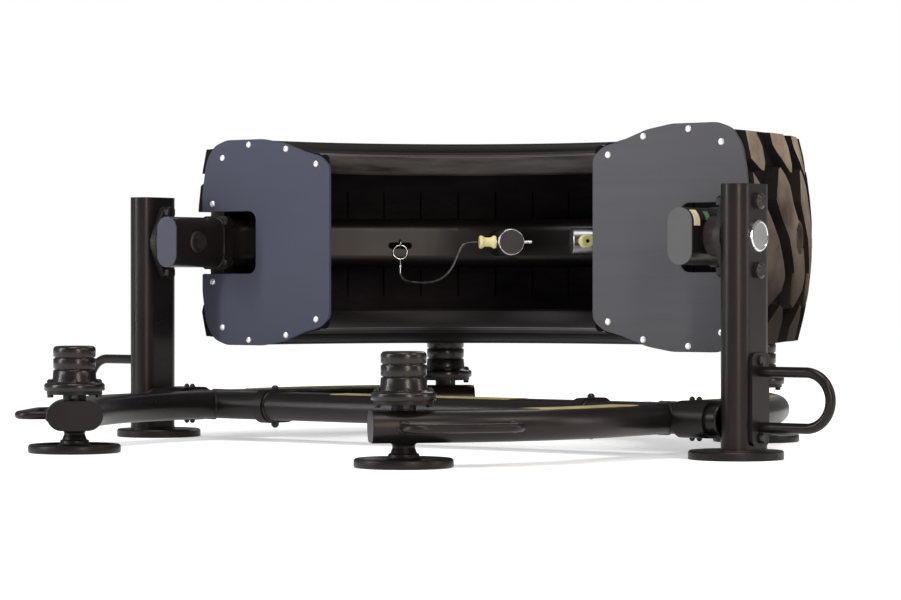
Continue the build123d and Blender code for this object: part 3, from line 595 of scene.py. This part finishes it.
# moulding seams across the lining, and the parting line round the tread
SEAM_STEP, SEAM_R, PARTING_R = 7.5, 1.8 * MM, 1.6 * MM
seams = bmesh.new()
for number in range(1, 24):
    angle = SEAM_STEP * number
    line = [on_tyre(angle, LINING_R - 0.5, h) for h in range(-130, 131, 20)]
    add_tube(seams, line, SEAM_R, steps=6)
finish_piece("lining_seams", to_mesh("lining_seams", seams), SEAM_AND_SLOT_SHADE, "tyre_frame")

parting = bmesh.new()
add_tube(parting, [on_tyre(0.2 + 1.197 * k, GROOVE_R, 0) for k in range(151)], PARTING_R, steps=6)
finish_piece("tread_parting_line", to_mesh("tread_parting_line", parting), CASING_RUBBER,
             "tyre_frame")

# ------------------------------------------------------------------ end plates and rivets
PLATE_T = 5
PLATE_EDGE = [(376, 178), (402, 201), (455, 214), (520, 236), (585, 246.5), (700, 246.5), (741, 233),
              (766, 196), (778.5, 120), (778.5, 75), (607, 75)]
PLATE_RADII = [28, 60, 130, 150, 120, 60, 50, 90, 160, 5, 22]


def end_plate(side):
    """Steel cover over one cut face, with a notch that the arm passes through."""
    points = PLATE_EDGE + [(x, -y) for x, y in reversed(PLATE_EDGE)]
    outline = rounded_outline(points, PLATE_RADII + PLATE_RADII[::-1])
    bm = bmesh.new()
    near = [bm.verts.new(TYRE_MID + Vector((side * p.x, -PLATE_T, p.y)) * MM) for p in outline]
    far = [bm.verts.new(TYRE_MID + Vector((side * p.x, 0, p.y)) * MM) for p in outline]
    front_face = add_prism(bm, near, far)
    bmesh.ops.recalc_face_normals(bm, faces=bm.faces)
    bmesh.ops.bevel(bm, geom=list(front_face.edges), offset=1.2 * MM, segments=2, affect="EDGES")
    return to_mesh("end_plate", bm)


RIVET_SPOTS = [(418, 183), (511, 221), (628, 234), (712, 204), (744, 94)]
for name, side in SIDES.items():
    skin = PLATE_LEFT if side < 0 else PLATE_RIGHT
    finish_piece(f"{name}_cover_plate", end_plate(side), skin, "tyre_frame",
                 [f"{name}_end_plate"], angle=25)
rivet_bm = bmesh.new()
for side in (-1, 1):
    for x, rise in RIVET_SPOTS:
        for up in (-1, 1):
            spot = TYRE_MID + Vector((side * x, -PLATE_T, up * rise)) * MM
            add_lathe(rivet_bm, [(7.6, 0), (7.6, 0.8), (6.8, 2.1), (4.6, 3.0), (2.4, 3.1), (2.0, 2.3),
                                 (0, 2.2)], spot, Vector((0, -1, 0)), steps=20)
finish_piece("domed_rivets", to_mesh("domed_rivets", rivet_bm), RIVET, "tyre_frame",
             ["plate_rivets"])

# ------------------------------------------------------------------ rubber buffers and feet
feet = {}
for end_name in ENDS:
    for side_name in SIDES:
        low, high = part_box(f"{end_name}_{side_name}_foot")
        feet[f"{end_name}_{side_name}"] = Vector(((low.x + high.x) / 2, (low.y + high.y) / 2, 0))

BUFFER_FLANGE_R, BUFFER_R = 65.5, 46
for name, spot in feet.items():
    low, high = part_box(f"{name}_bumper")
    foot, top = low.z / MM, high.z / MM
    rib_low, rib_high = foot + 46, top - 25
    profile = [(0, foot), (BUFFER_FLANGE_R - 1, foot), (BUFFER_FLANGE_R, foot + 1.5),
               (BUFFER_FLANGE_R, foot + 12), (BUFFER_FLANGE_R - 1.5, foot + 15),
               (BUFFER_FLANGE_R - 5, foot + 17), (BUFFER_R + 6, foot + 17.5),
               (BUFFER_R + 3, foot + 20), (BUFFER_R + 1, foot + 29), (BUFFER_R, rib_low - 3),
               (BUFFER_R - 1.5, rib_low - 1), (BUFFER_R - 4, rib_low), (BUFFER_R - 4, rib_low + 1),
               (BUFFER_R - 1, rib_low + 2), (BUFFER_R, rib_low + 4), (BUFFER_R, rib_high - 4),
               (BUFFER_R - 1, rib_high - 2), (BUFFER_R - 4, rib_high - 1), (BUFFER_R - 4, rib_high),
               (BUFFER_R - 1.5, rib_high + 1), (BUFFER_R, rib_high + 4), (BUFFER_R, top - 8),
               (BUFFER_R - 1, top - 4), (BUFFER_R - 4, top - 1), (BUFFER_R - 8, top),
               (30, top), (27, top - 1.5), (0, top - 1.5)]
    bm = bmesh.new()
    add_lathe(bm, profile, spot, steps=72)
    for k in range(12):
        a = 2 * math.pi * (k + 0.5) / 12
        nub = spot + Vector((33 * math.cos(a), 33 * math.sin(a), top - 2)) * MM
        add_lathe(bm, [(2.6, 0), (2.2, 1.9), (0, 2)], nub, steps=10)
    finish_piece(f"{name}_buffer", to_mesh(f"{name}_buffer", bm), BUFFER_RUBBER, "base",
                 [f"{name}_bumper"])

PAD_R, STEM_R = 100, 22.5
for name, spot in feet.items():
    profile = [(0, 0), (PAD_R - 3, 0), (PAD_R - 0.8, 1), (PAD_R, 3.5), (PAD_R, 13), (PAD_R - 1, 16),
               (PAD_R - 4, 18), (PAD_R - 10, 18), (PAD_R - 13.5, 16.5), (PAD_R - 17, 13.5),
               (PAD_R - 22, 12.5), (46, 12.5), (38, 14.5), (33.5, 18), (31.5, 21), (31, 26), (29.5, 27.5),
               (27, 28), (25.5, 31), (24, 36), (23, 37.5)]
    stem_top = TUBE_LOW / MM
    profile += [(STEM_R + 0.2, 40), (STEM_R + 0.2, stem_top - 7), (STEM_R + 1.5, stem_top - 3),
                (STEM_R + 5, stem_top - 0.2), (0, stem_top - 0.2)]
    bm = bmesh.new()
    add_lathe(bm, profile, spot, steps=80)
    # the pads get the darker copy of the powder coat, painted shade
    finish_piece(f"{name}_pad", to_mesh(f"{name}_pad", bm), COAT_SHADED, "base",
                 [f"{name}_foot"])

# ------------------------------------------------------------------ caps with bright rims
for side_name, side in SIDES.items():
    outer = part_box(f"{side_name}_post")
    face_x = outer[1].x if side > 0 else outer[0].x
    bm = bmesh.new()
    add_lathe(bm, [(33, 0), (33, 5), (31.5, 6.8), (29, 7), (27.8, 5.8), (0, 5.8)],
              Vector((face_x, PIVOT.y, PIVOT.z)), Vector((side, 0, 0)), steps=64,
              bands=(0, 0, 0, 0, 1))
    mesh = to_mesh(f"{side_name}_pivot_cap", bm)
    mesh.materials.append(CHROME)
    mesh.materials.append(CAP_GREY)
    finish_piece(f"{side_name}_pivot_cap", mesh, None, "base",
                 ["pivot_caps"] if side > 0 else [])

HORN_R, HORN_CAP, PIN_BACK = 31.5, 8, 26
HORN_TIP_X, HORN_TIP_Y = 0.087, 0.437
DIAGONAL = math.sqrt(0.5)


def horn_frame(side):
    """Tip of a weight horn and the way it points."""
    out = Vector((-side * DIAGONAL, -DIAGONAL, 0))
    return Vector((side * HORN_TIP_X, PIVOT.y + HORN_TIP_Y, PIVOT.z)), out


for side_name, side in SIDES.items():
    tip, out = horn_frame(side)
    bm = bmesh.new()
    add_lathe(bm, [(29.8, 0), (HORN_R, 1.8), (HORN_R, HORN_CAP)], tip, -out, steps=64)
    rim_only = to_mesh(f"{side_name}_horn_rim", bm)
    finish_piece(f"{side_name}_horn_rim", rim_only, HORN_STEEL, "tyre_frame",
                 ["horn_discs"] if side > 0 else [])
    bm = bmesh.new()
    add_lathe(bm, [(29.6, 0.4), (29.0, -0.25), (0, -0.3)], tip, -out, steps=64)
    finish_piece(f"{side_name}_horn_face", to_mesh(f"{side_name}_horn_face", bm), HORN_FACE,
                 "tyre_frame")
paint(HORN_STEEL, "left_weight_horn", "right_weight_horn")

# ------------------------------------------------------------------ pin grips
GRIP_L = 40
SPOOL = [(2, 0), (13.6, 0), (15.2, 1.4), (15.5, 3.2), (15.2, 7.2), (13.8, 9.2), (11.9, 11.5),
         (11, 15), (10.8, 20), (11, 25), (11.9, 28.5), (13.8, 30.8), (15.2, 32.8), (15.5, 36.8),
         (15.2, 38.6), (13.6, GRIP_L), (5.2, GRIP_L), (4.4, GRIP_L - 2), (2, GRIP_L - 2)]


def pin_frame(side):
    """Pin hole in the horn, and the way that the pin is drawn."""
    tip, out = horn_frame(side)
    pull = Vector((side * DIAGONAL, -DIAGONAL, 0))
    if side < 0:
        pull = Vector((-DIAGONAL, -DIAGONAL, 0))
    return tip - out * PIN_BACK * MM, pull


for side_name, side in SIDES.items():
    hole, pull = pin_frame(side)
    bm = bmesh.new()
    add_lathe(bm, SPOOL, hole + pull * (HORN_R + 2.5) * MM, pull, steps=40)
    finish_piece(f"{side_name}_spool_grip", to_mesh(f"{side_name}_spool_grip", bm), YELLOW,
                 f"{side_name}_pin", [f"{side_name}_pin_grip"])
    bm = bmesh.new()
    eye = hole + pull * (HORN_R + 2.5 + GRIP_L - 3) * MM
    add_lathe(bm, [(0, 0), (4.0, 0), (4.0, 2.2), (1.6, 2.6), (1.6, 1.6), (0, 1.6)], eye, pull, steps=20)
    finish_piece(f"{side_name}_pin_socket", to_mesh(f"{side_name}_pin_socket", bm), FASTENER,
                 f"{side_name}_pin")

# ------------------------------------------------------------------ tether of the left pin
CORD_R = 0.0025
CORD_ROUTE = [(-424, 441, 379), (-398, 434, 371), (-350, 422, 368), (-300, 409, 370),
              (-258, 398, 382), (-224, 388, 408), (-203, 381, 440), (-188, 379, 461), (-171, 389, 465.5)]
hole, pull = pin_frame(-1)
face_out = Vector((DIAGONAL, -DIAGONAL, 0))
TETHER_EYE_X, RING_OFF = -431, 3.4
BEAM_SKEW = 917.7056           # x and y of the beam's slanting middle line add up to this
eye_y = TETHER_EYE_X + BEAM_SKEW - 30 * math.sqrt(2)
eye = Vector((TETHER_EYE_X * MM, PIVOT.y + eye_y * MM, 0.464))
ring_mid = eye + face_out * RING_OFF * MM - Vector((0, 0, 0.021))
cord_start = Vector((ring_mid.x, ring_mid.y, 0.391))
cord_end = hole + pull * (HORN_R + 2.5 + GRIP_L + 0.5) * MM
route = [cord_start] + [Vector((x * MM, PIVOT.y + y * MM, z * MM)) for x, y, z in CORD_ROUTE] + [cord_end]


def nurbs_points(points):
    """Points of a smooth curve whose control points are the cord's route."""
    curve = bpy.data.curves.new("cord_line", "CURVE")
    curve.dimensions = "3D"
    curve.resolution_u = 12
    spline = curve.splines.new("NURBS")
    spline.points.add(len(points) - 1)
    for point, co in zip(spline.points, points):
        point.co = (*co, 1)
    spline.order_u = 3
    spline.use_endpoint_u = True
    guide = bpy.data.objects.new("cord_line", curve)
    bpy.context.collection.objects.link(guide)
    depsgraph = bpy.context.evaluated_depsgraph_get()
    mesh = bpy.data.meshes.new_from_object(guide.evaluated_get(depsgraph))
    found = [v.co.copy() for v in mesh.vertices]
    bpy.data.objects.remove(guide)
    return found


cord_line = nurbs_points(route)
WIRE_R, WIRE_RUN, CRIMP_RUN = 0.0009, 0.036, 0.006      # bare wire and crimp at the grip end


def cord_radius(left_over):
    """Radius of the tether where a length of it is left before the grip."""
    if left_over < WIRE_RUN:
        return WIRE_R
    return CORD_R * 1.15 if left_over < WIRE_RUN + CRIMP_RUN else CORD_R


def even_points(points, gap):
    """The same line with points no further apart than the gap."""
    out = [points[0]]
    for a, b in zip(points, points[1:]):
        count = max(1, math.ceil((b - a).length / gap))
        out += [a.lerp(b, k / count) for k in range(1, count + 1)]
    return out


cord_dense = even_points(cord_line, 0.003)
left_over, remaining = [], 0.0
for a, b in zip(cord_dense[::-1], cord_dense[-2::-1]):
    left_over.append(remaining)
    remaining += (b - a).length
left_over.append(remaining)
cord_bm = bmesh.new()
add_tube(cord_bm, cord_dense, [cord_radius(rest) for rest in left_over[::-1]], steps=14)
cord_mesh = to_mesh("tether_cord", cord_bm)
cord = bpy.data.objects.new("tether_cord", cord_mesh)
bpy.context.collection.objects.link(cord)
cord_mesh.materials.append(CORD)
cord_mesh.polygons.foreach_set("use_smooth", [True] * len(cord_mesh.polygons))
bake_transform(cord)
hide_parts("tether_cable")

# dark flat oval sheet on the face of the beam behind the tether's eye: painted shade standing in for the
# dark inside of a slot
face_along = Vector((DIAGONAL, DIAGONAL, 0))
slot_shade_mid = eye - Vector((0, 0, 0.005))
slot_shade_outline = rounded_outline([(29, 8), (-29, 8), (-29, -8), (29, -8)], 7.9)
slot_shade_bm = bmesh.new()
for lift, half in ((0.0, 1.0), (0.0008, 0.97)):
    slot_shade_bm.faces.new([slot_shade_bm.verts.new(slot_shade_mid + face_out * lift + (face_along * p.x * half
                         + Vector((0, 0, p.y * half))) * MM) for p in slot_shade_outline])
bmesh.ops.bridge_loops(slot_shade_bm, edges=slot_shade_bm.edges[:])
finish_piece("beam_slot_painted_shade", to_mesh("beam_slot_painted_shade", slot_shade_bm), SEAM_AND_SLOT_SHADE, "tyre_frame")

# ------------------------------------------------------------------ stripes on the tubes
STRIPE_HALF, STRIPE_LIFT, STRIPE_T = 36, 0.3, 0.5
SECTION_FLAT, SECTION_R = 28, 32


def over_top(across_mm, lift):
    """Place on the upper skin of a flat-oval tube: sideways and up from the tube's middle line."""
    if abs(across_mm) <= SECTION_FLAT:
        return across_mm, SECTION_R + lift
    arc = (abs(across_mm) - SECTION_FLAT) / SECTION_R
    r = SECTION_R + lift
    return math.copysign(SECTION_FLAT + r * math.sin(arc), across_mm), r * math.cos(arc)


def stripe(name, centres, sideways):
    """Thin painted band wrapped over a tube, along a line of centres."""
    bm = bmesh.new()
    tube_mid = (TUBE_TOP + TUBE_LOW) / 2
    spread = [STRIPE_HALF * k / 6 for k in range(-6, 7)]
    rings = []
    for centre, side in zip(centres, sideways):
        ring = []
        for lift, row in ((STRIPE_LIFT + STRIPE_T, spread), (0.0, spread[::-1])):
            for across_mm in row:
                dx, dz = over_top(across_mm, lift)
                ring.append(bm.verts.new(centre + side * dx * MM + Vector((0, 0, tube_mid + dz * MM))))
        rings.append(ring)
    for low, high in zip(rings, rings[1:]):
        for k in range(len(low)):
            n = (k + 1) % len(low)
            bm.faces.new((low[k], low[n], high[n], high[k]))
    bm.faces.new(rings[0])
    bm.faces.new(rings[-1])
    finish_piece(name, to_mesh(name, bm), STRIPE, "base", angle=40)


BEAM_STRIPE_HALF, LEG_STRIPE_START = 254, 150
beam_ends = [Vector((x * MM, PIVOT.y, 0)) for x in (-BEAM_STRIPE_HALF, BEAM_STRIPE_HALF)]
stripe("beam_stripe", beam_ends, [Vector((0, 1, 0))] * 2)

FOOT_X, FOOT_Y, LEG_X = 456, 657, 640
LEG_BEND = (LEG_X - FOOT_X) / (1 - math.cos(math.radians(45)))
LEG_STRAIGHT = FOOT_Y - LEG_BEND * math.sin(math.radians(45))


def leg_line(side, end, start, stop, count=24):
    """Centres and sideways directions along a leg, between two distances from the cross beam."""
    centres, across = [], []
    for k in range(count + 1):
        run = start + (stop - start) * k / count
        turn = max(run - LEG_STRAIGHT, 0) / LEG_BEND
        x = LEG_X - LEG_BEND * (1 - math.cos(turn))
        y = min(run, LEG_STRAIGHT) + LEG_BEND * math.sin(turn)
        centres.append(Vector((side * x * MM, PIVOT.y + end * y * MM, 0)))
        across.append(Vector((side * math.cos(turn), end * math.sin(turn), 0)))
    return centres, across


for name, side, end, stop in (("front_right", 1, -1, 432), ("rear_right", 1, 1, 560),
                              ("rear_left", -1, 1, 560)):
    centres, across = leg_line(side, end, LEG_STRIPE_START, stop)
    stripe(f"{name}_stripe", centres, across)


# ------------------------------------------------------------------ weld beads
def oval_loop(centre, along, upward, width, thick, count=72):
    """Closed flat-oval line round a tube, width along one axis and thickness along the other."""
    radius = thick / 2
    flat = width / 2 - radius
    run = 4 * flat + 2 * math.pi * radius
    loop = []
    for k in range(count):
        s = run * k / count
        if s < 2 * flat:
            u, v = -flat + s, radius
        elif s < 2 * flat + math.pi * radius:
            a = (s - 2 * flat) / radius
            u, v = flat + radius * math.sin(a), radius * math.cos(a)
        elif s < 4 * flat + math.pi * radius:
            u, v = flat - (s - 2 * flat - math.pi * radius), -radius
        else:
            a = (s - 4 * flat - math.pi * radius) / radius
            u, v = -flat - radius * math.sin(a), -radius * math.cos(a)
        loop.append(centre + (along * u + upward * v) * MM)
    return loop


X_AXIS, Y_AXIS, Z_AXIS = Vector((1, 0, 0)), Vector((0, 1, 0)), Vector((0, 0, 1))
WELD_R, LEG_WELD_R, STEM_WELD_R = 0.0028, 0.003, 0.0025
POST_WELD, TUBE_WELD, ARM_WELD = (125, 67), (121, 65), (121, 61)        # width and thickness, mm
FLANGE_OUTER, FLANGE_INNER, WELD_OFF = 0.463, 0.4355, 0.0015
LEG_HALF = 60
tube_mid_z = (TUBE_TOP + TUBE_LOW) / 2
disc_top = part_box("post_discs")[1].z


def leg_weld_line(side, end, count=72):
    """Closed line where a leg meets the side of the cross beam."""
    loop = []
    for k in range(count):
        a = 2 * math.pi * k / count
        spread = min(abs(LEG_HALF * math.cos(a)) ** 0.9 * LEG_HALF ** 0.1, LEG_HALF)
        u = math.copysign(spread, math.cos(a))
        drop = max(SECTION_R ** 2 - max(abs(u) - SECTION_FLAT, 0) ** 2, 0)
        v = math.copysign(math.sqrt(drop), math.sin(a))
        reach = SECTION_FLAT + math.sqrt(max(SECTION_R ** 2 - v * v, 0))
        loop.append(Vector(((side * LEG_X + u) * MM, PIVOT.y + end * reach * MM,
                            tube_mid_z + v * MM)))
    return loop


base_welds = bmesh.new()
seed = 0
for side_name, side in SIDES.items():
    post_low, post_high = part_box(f"{side_name}_post")
    post_x = (post_low.x + post_high.x) / 2
    inner_x = post_low.x if side > 0 else post_high.x
    spots = [(Vector((post_x, PIVOT.y, disc_top)), X_AXIS, POST_WELD)]
    for x in (inner_x - side * 0.001, FLANGE_OUTER * side + side * WELD_OFF, side * FLANGE_INNER):
        spots.append((Vector((x, PIVOT.y, tube_mid_z)), Z_AXIS, TUBE_WELD))
    for centre, upward, (width, thick) in spots:
        seed += 1
        add_tube(base_welds, oval_loop(centre, Y_AXIS, upward, width, thick), WELD_R, steps=8,
                 closed=True, wobble=0.45, seed=seed)
    for end in (-1, 1):
        seed += 1
        add_tube(base_welds, leg_weld_line(side, end), LEG_WELD_R, steps=8, closed=True, wobble=0.45,
                 seed=seed)
for spot in feet.values():
    ring = [spot + Vector((STEM_R * math.cos(a), STEM_R * math.sin(a), TUBE_LOW / MM - 1)) * MM
            for a in [2 * math.pi * k / 48 for k in range(48)]]
    seed += 1
    add_tube(base_welds, ring, STEM_WELD_R, steps=8, closed=True, wobble=0.4, seed=seed)
finish_piece("base_welds", to_mesh("base_welds", base_welds), WELD, "base")

frame_welds = bmesh.new()
for side_name in SIDES:
    arm_low, arm_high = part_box(f"{side_name}_arm")
    arm_back = Vector(((arm_low.x + arm_high.x) / 2, arm_high.y - WELD_OFF, PIVOT.z))
    seed += 1
    add_tube(frame_welds, oval_loop(arm_back, Z_AXIS, X_AXIS, *ARM_WELD), WELD_R, steps=8, closed=True,
             wobble=0.45, seed=seed)
finish_piece("arm_welds", to_mesh("arm_welds", frame_welds), WELD, "tyre_frame")

# collars where the bent rods of the front legs meet the tube
HANDLE_BACK, HANDLE_ROOT_OUT = (-6, 205), 0.0585
collars = bmesh.new()
for side in (-1, 1):
    for back in HANDLE_BACK:
        turn = math.radians(45) - max(back, 0) / LEG_BEND
        start = (min(back, 0) * math.sin(turn), min(back, 0) * math.cos(turn))
        out = Vector((side * math.cos(turn), -math.sin(turn), 0))
        x = LEG_X - LEG_BEND * (1 - math.cos(turn)) + start[0]
        y = LEG_STRAIGHT + LEG_BEND * math.sin(turn) - start[1]
        root = Vector((side * x * MM, PIVOT.y - y * MM, tube_mid_z)) + out * HANDLE_ROOT_OUT
        add_lathe(collars, [(9, -3), (14, -1.2), (13.2, 1.6), (11, 3.6), (9.1, 4.6)], root, out, steps=28)
finish_piece("handle_collars", to_mesh("handle_collars", collars), WELD, "base")

# small coloured marks on the upper outside of the right arm
arm_low, arm_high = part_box("right_arm")
ARM_FLAT, ARM_R = 30, 30


def arm_mark(name, material, near, far, low, high):
    """Thin patch that follows the arm's round shoulder; near and far are mm from its front end."""
    bm = bmesh.new()
    grid = {}
    for level, lift in enumerate((0.2, 1.2)):
        for row in range(9):
            up = low + (high - low) * row / 8
            a = max(up - ARM_FLAT, 0) / ARM_R
            reach = (ARM_R + lift) * math.cos(a)
            z = min(up, ARM_FLAT) + (ARM_R + lift) * math.sin(a)
            for column, run in enumerate((near, far)):
                grid[level, row, column] = bm.verts.new(Vector((
                    arm_high.x + (reach - ARM_R) * MM, arm_low.y + run * MM, PIVOT.z + z * MM)))
    for row in range(8):
        for level in (0, 1):
            bm.faces.new([grid[level, row + dr, c] for dr, c in ((0, 0), (0, 1), (1, 1), (1, 0))])
        for c in (0, 1):
            bm.faces.new([grid[lv, row + dr, c] for lv, dr in ((0, 0), (0, 1), (1, 1), (1, 0))])
    for row in (0, 8):
        bm.faces.new([grid[lv, row, c] for lv, c in ((0, 0), (0, 1), (1, 1), (1, 0))])
    finish_piece(name, to_mesh(name, bm), material, "tyre_frame")


arm_mark("cream_mark", CREAM, 6, 28, 22, 58)
arm_mark("green_mark", GREEN, 52, 68, 34, 54)

# ------------------------------------------------------------------ floor and light
FLOOR_HALF, FLOOR_Z, FLOOR_GLOW = 30, -0.0005, 0.43
CORNERS = ((-1, -1), (1, -1), (1, 1), (-1, 1))
floor_mesh = bpy.data.meshes.new("floor")
floor_mesh.from_pydata([(FLOOR_HALF * x, FLOOR_HALF * y, FLOOR_Z) for x, y in CORNERS], [],
                       [(0, 1, 2, 3)])
floor_mesh.materials.append(surface("floor_paper", (0.90, 0.90, 0.90), (0.86, 0.86, 0.86), 0.9, scale=0.5,
                                    bump=0.02))
floor_shader = floor_mesh.materials[0].node_tree.nodes["Principled BSDF"]
floor_shader.inputs["Emission Color"].default_value = (1, 1, 1, 1)
floor_shader.inputs["Emission Strength"].default_value = FLOOR_GLOW
floor = bpy.data.objects.new("floor", floor_mesh)
bpy.context.collection.objects.link(floor)

SEEN_WHITE, FILL = 1.0, 0.26
world = bpy.data.worlds.new("studio")
world.use_nodes = True
world_tree = world.node_tree
sky = world_tree.nodes["Background"]
sky.inputs["Color"].default_value = (1, 1, 1, 1)
seen = world_tree.nodes.new("ShaderNodeLightPath")
level = world_tree.nodes.new("ShaderNodeMapRange")
level.inputs["To Min"].default_value = FILL
level.inputs["To Max"].default_value = SEEN_WHITE
world_tree.links.new(seen.outputs["Is Camera Ray"], level.inputs["Value"])
world_tree.links.new(level.outputs["Result"], sky.inputs["Strength"])
bpy.context.scene.world = world


def softbox(name, place, aim, size, power, tint=(1, 1, 1)):
    """Rectangular area light aimed at a point; size is its width and height."""
    data = bpy.data.lights.new(name, "AREA")
    data.shape = "RECTANGLE"
    data.size, data.size_y = size
    data.energy = power
    data.color = tint
    light = bpy.data.objects.new(name, data)
    light.location = place
    light.rotation_euler = (Vector(aim) - Vector(place)).to_track_quat("-Z", "Y").to_euler()
    light.visible_camera = False
    bpy.context.collection.objects.link(light)


COOL, WARM = (0.86, 0.90, 1.0), (1.0, 0.92, 0.84)
softbox("key", (-2.6, -5.2, 3.0), (0, 0.1, 0.35), (1.8, 1.8), 42)
softbox("side", (4.6, 0.4, 4.2), (0.4, 0.2, 0.5), (1.6, 1.6), 80, WARM)
softbox("back", (-1.5, 4.6, 3.4), (0, 0.2, 0.4), (2.4, 2.4), 45)
softbox("strip_near", (3.6, -2.6, 1.5), (0, 0, 0.4), (0.30, 2.4), 72, WARM)
softbox("strip_right", (4.2, 1.7, 1.4), (0.3, 0, 0.3), (0.4, 2.2), 34, WARM)
softbox("strip_left", (-2.7, -3.5, 1.5), (0, 0.1, 0.3), (0.35, 2.4), 76, COOL)
sun_data = bpy.data.lights.new("overhead", "SUN")
sun_data.energy, sun_data.angle = 1.35, math.radians(30)
sun = bpy.data.objects.new("overhead", sun_data)
sun.rotation_euler = (math.radians(12), math.radians(8), 0)
bpy.context.collection.objects.link(sun)
scene = bpy.context.scene
scene.view_settings.view_transform = "Standard"
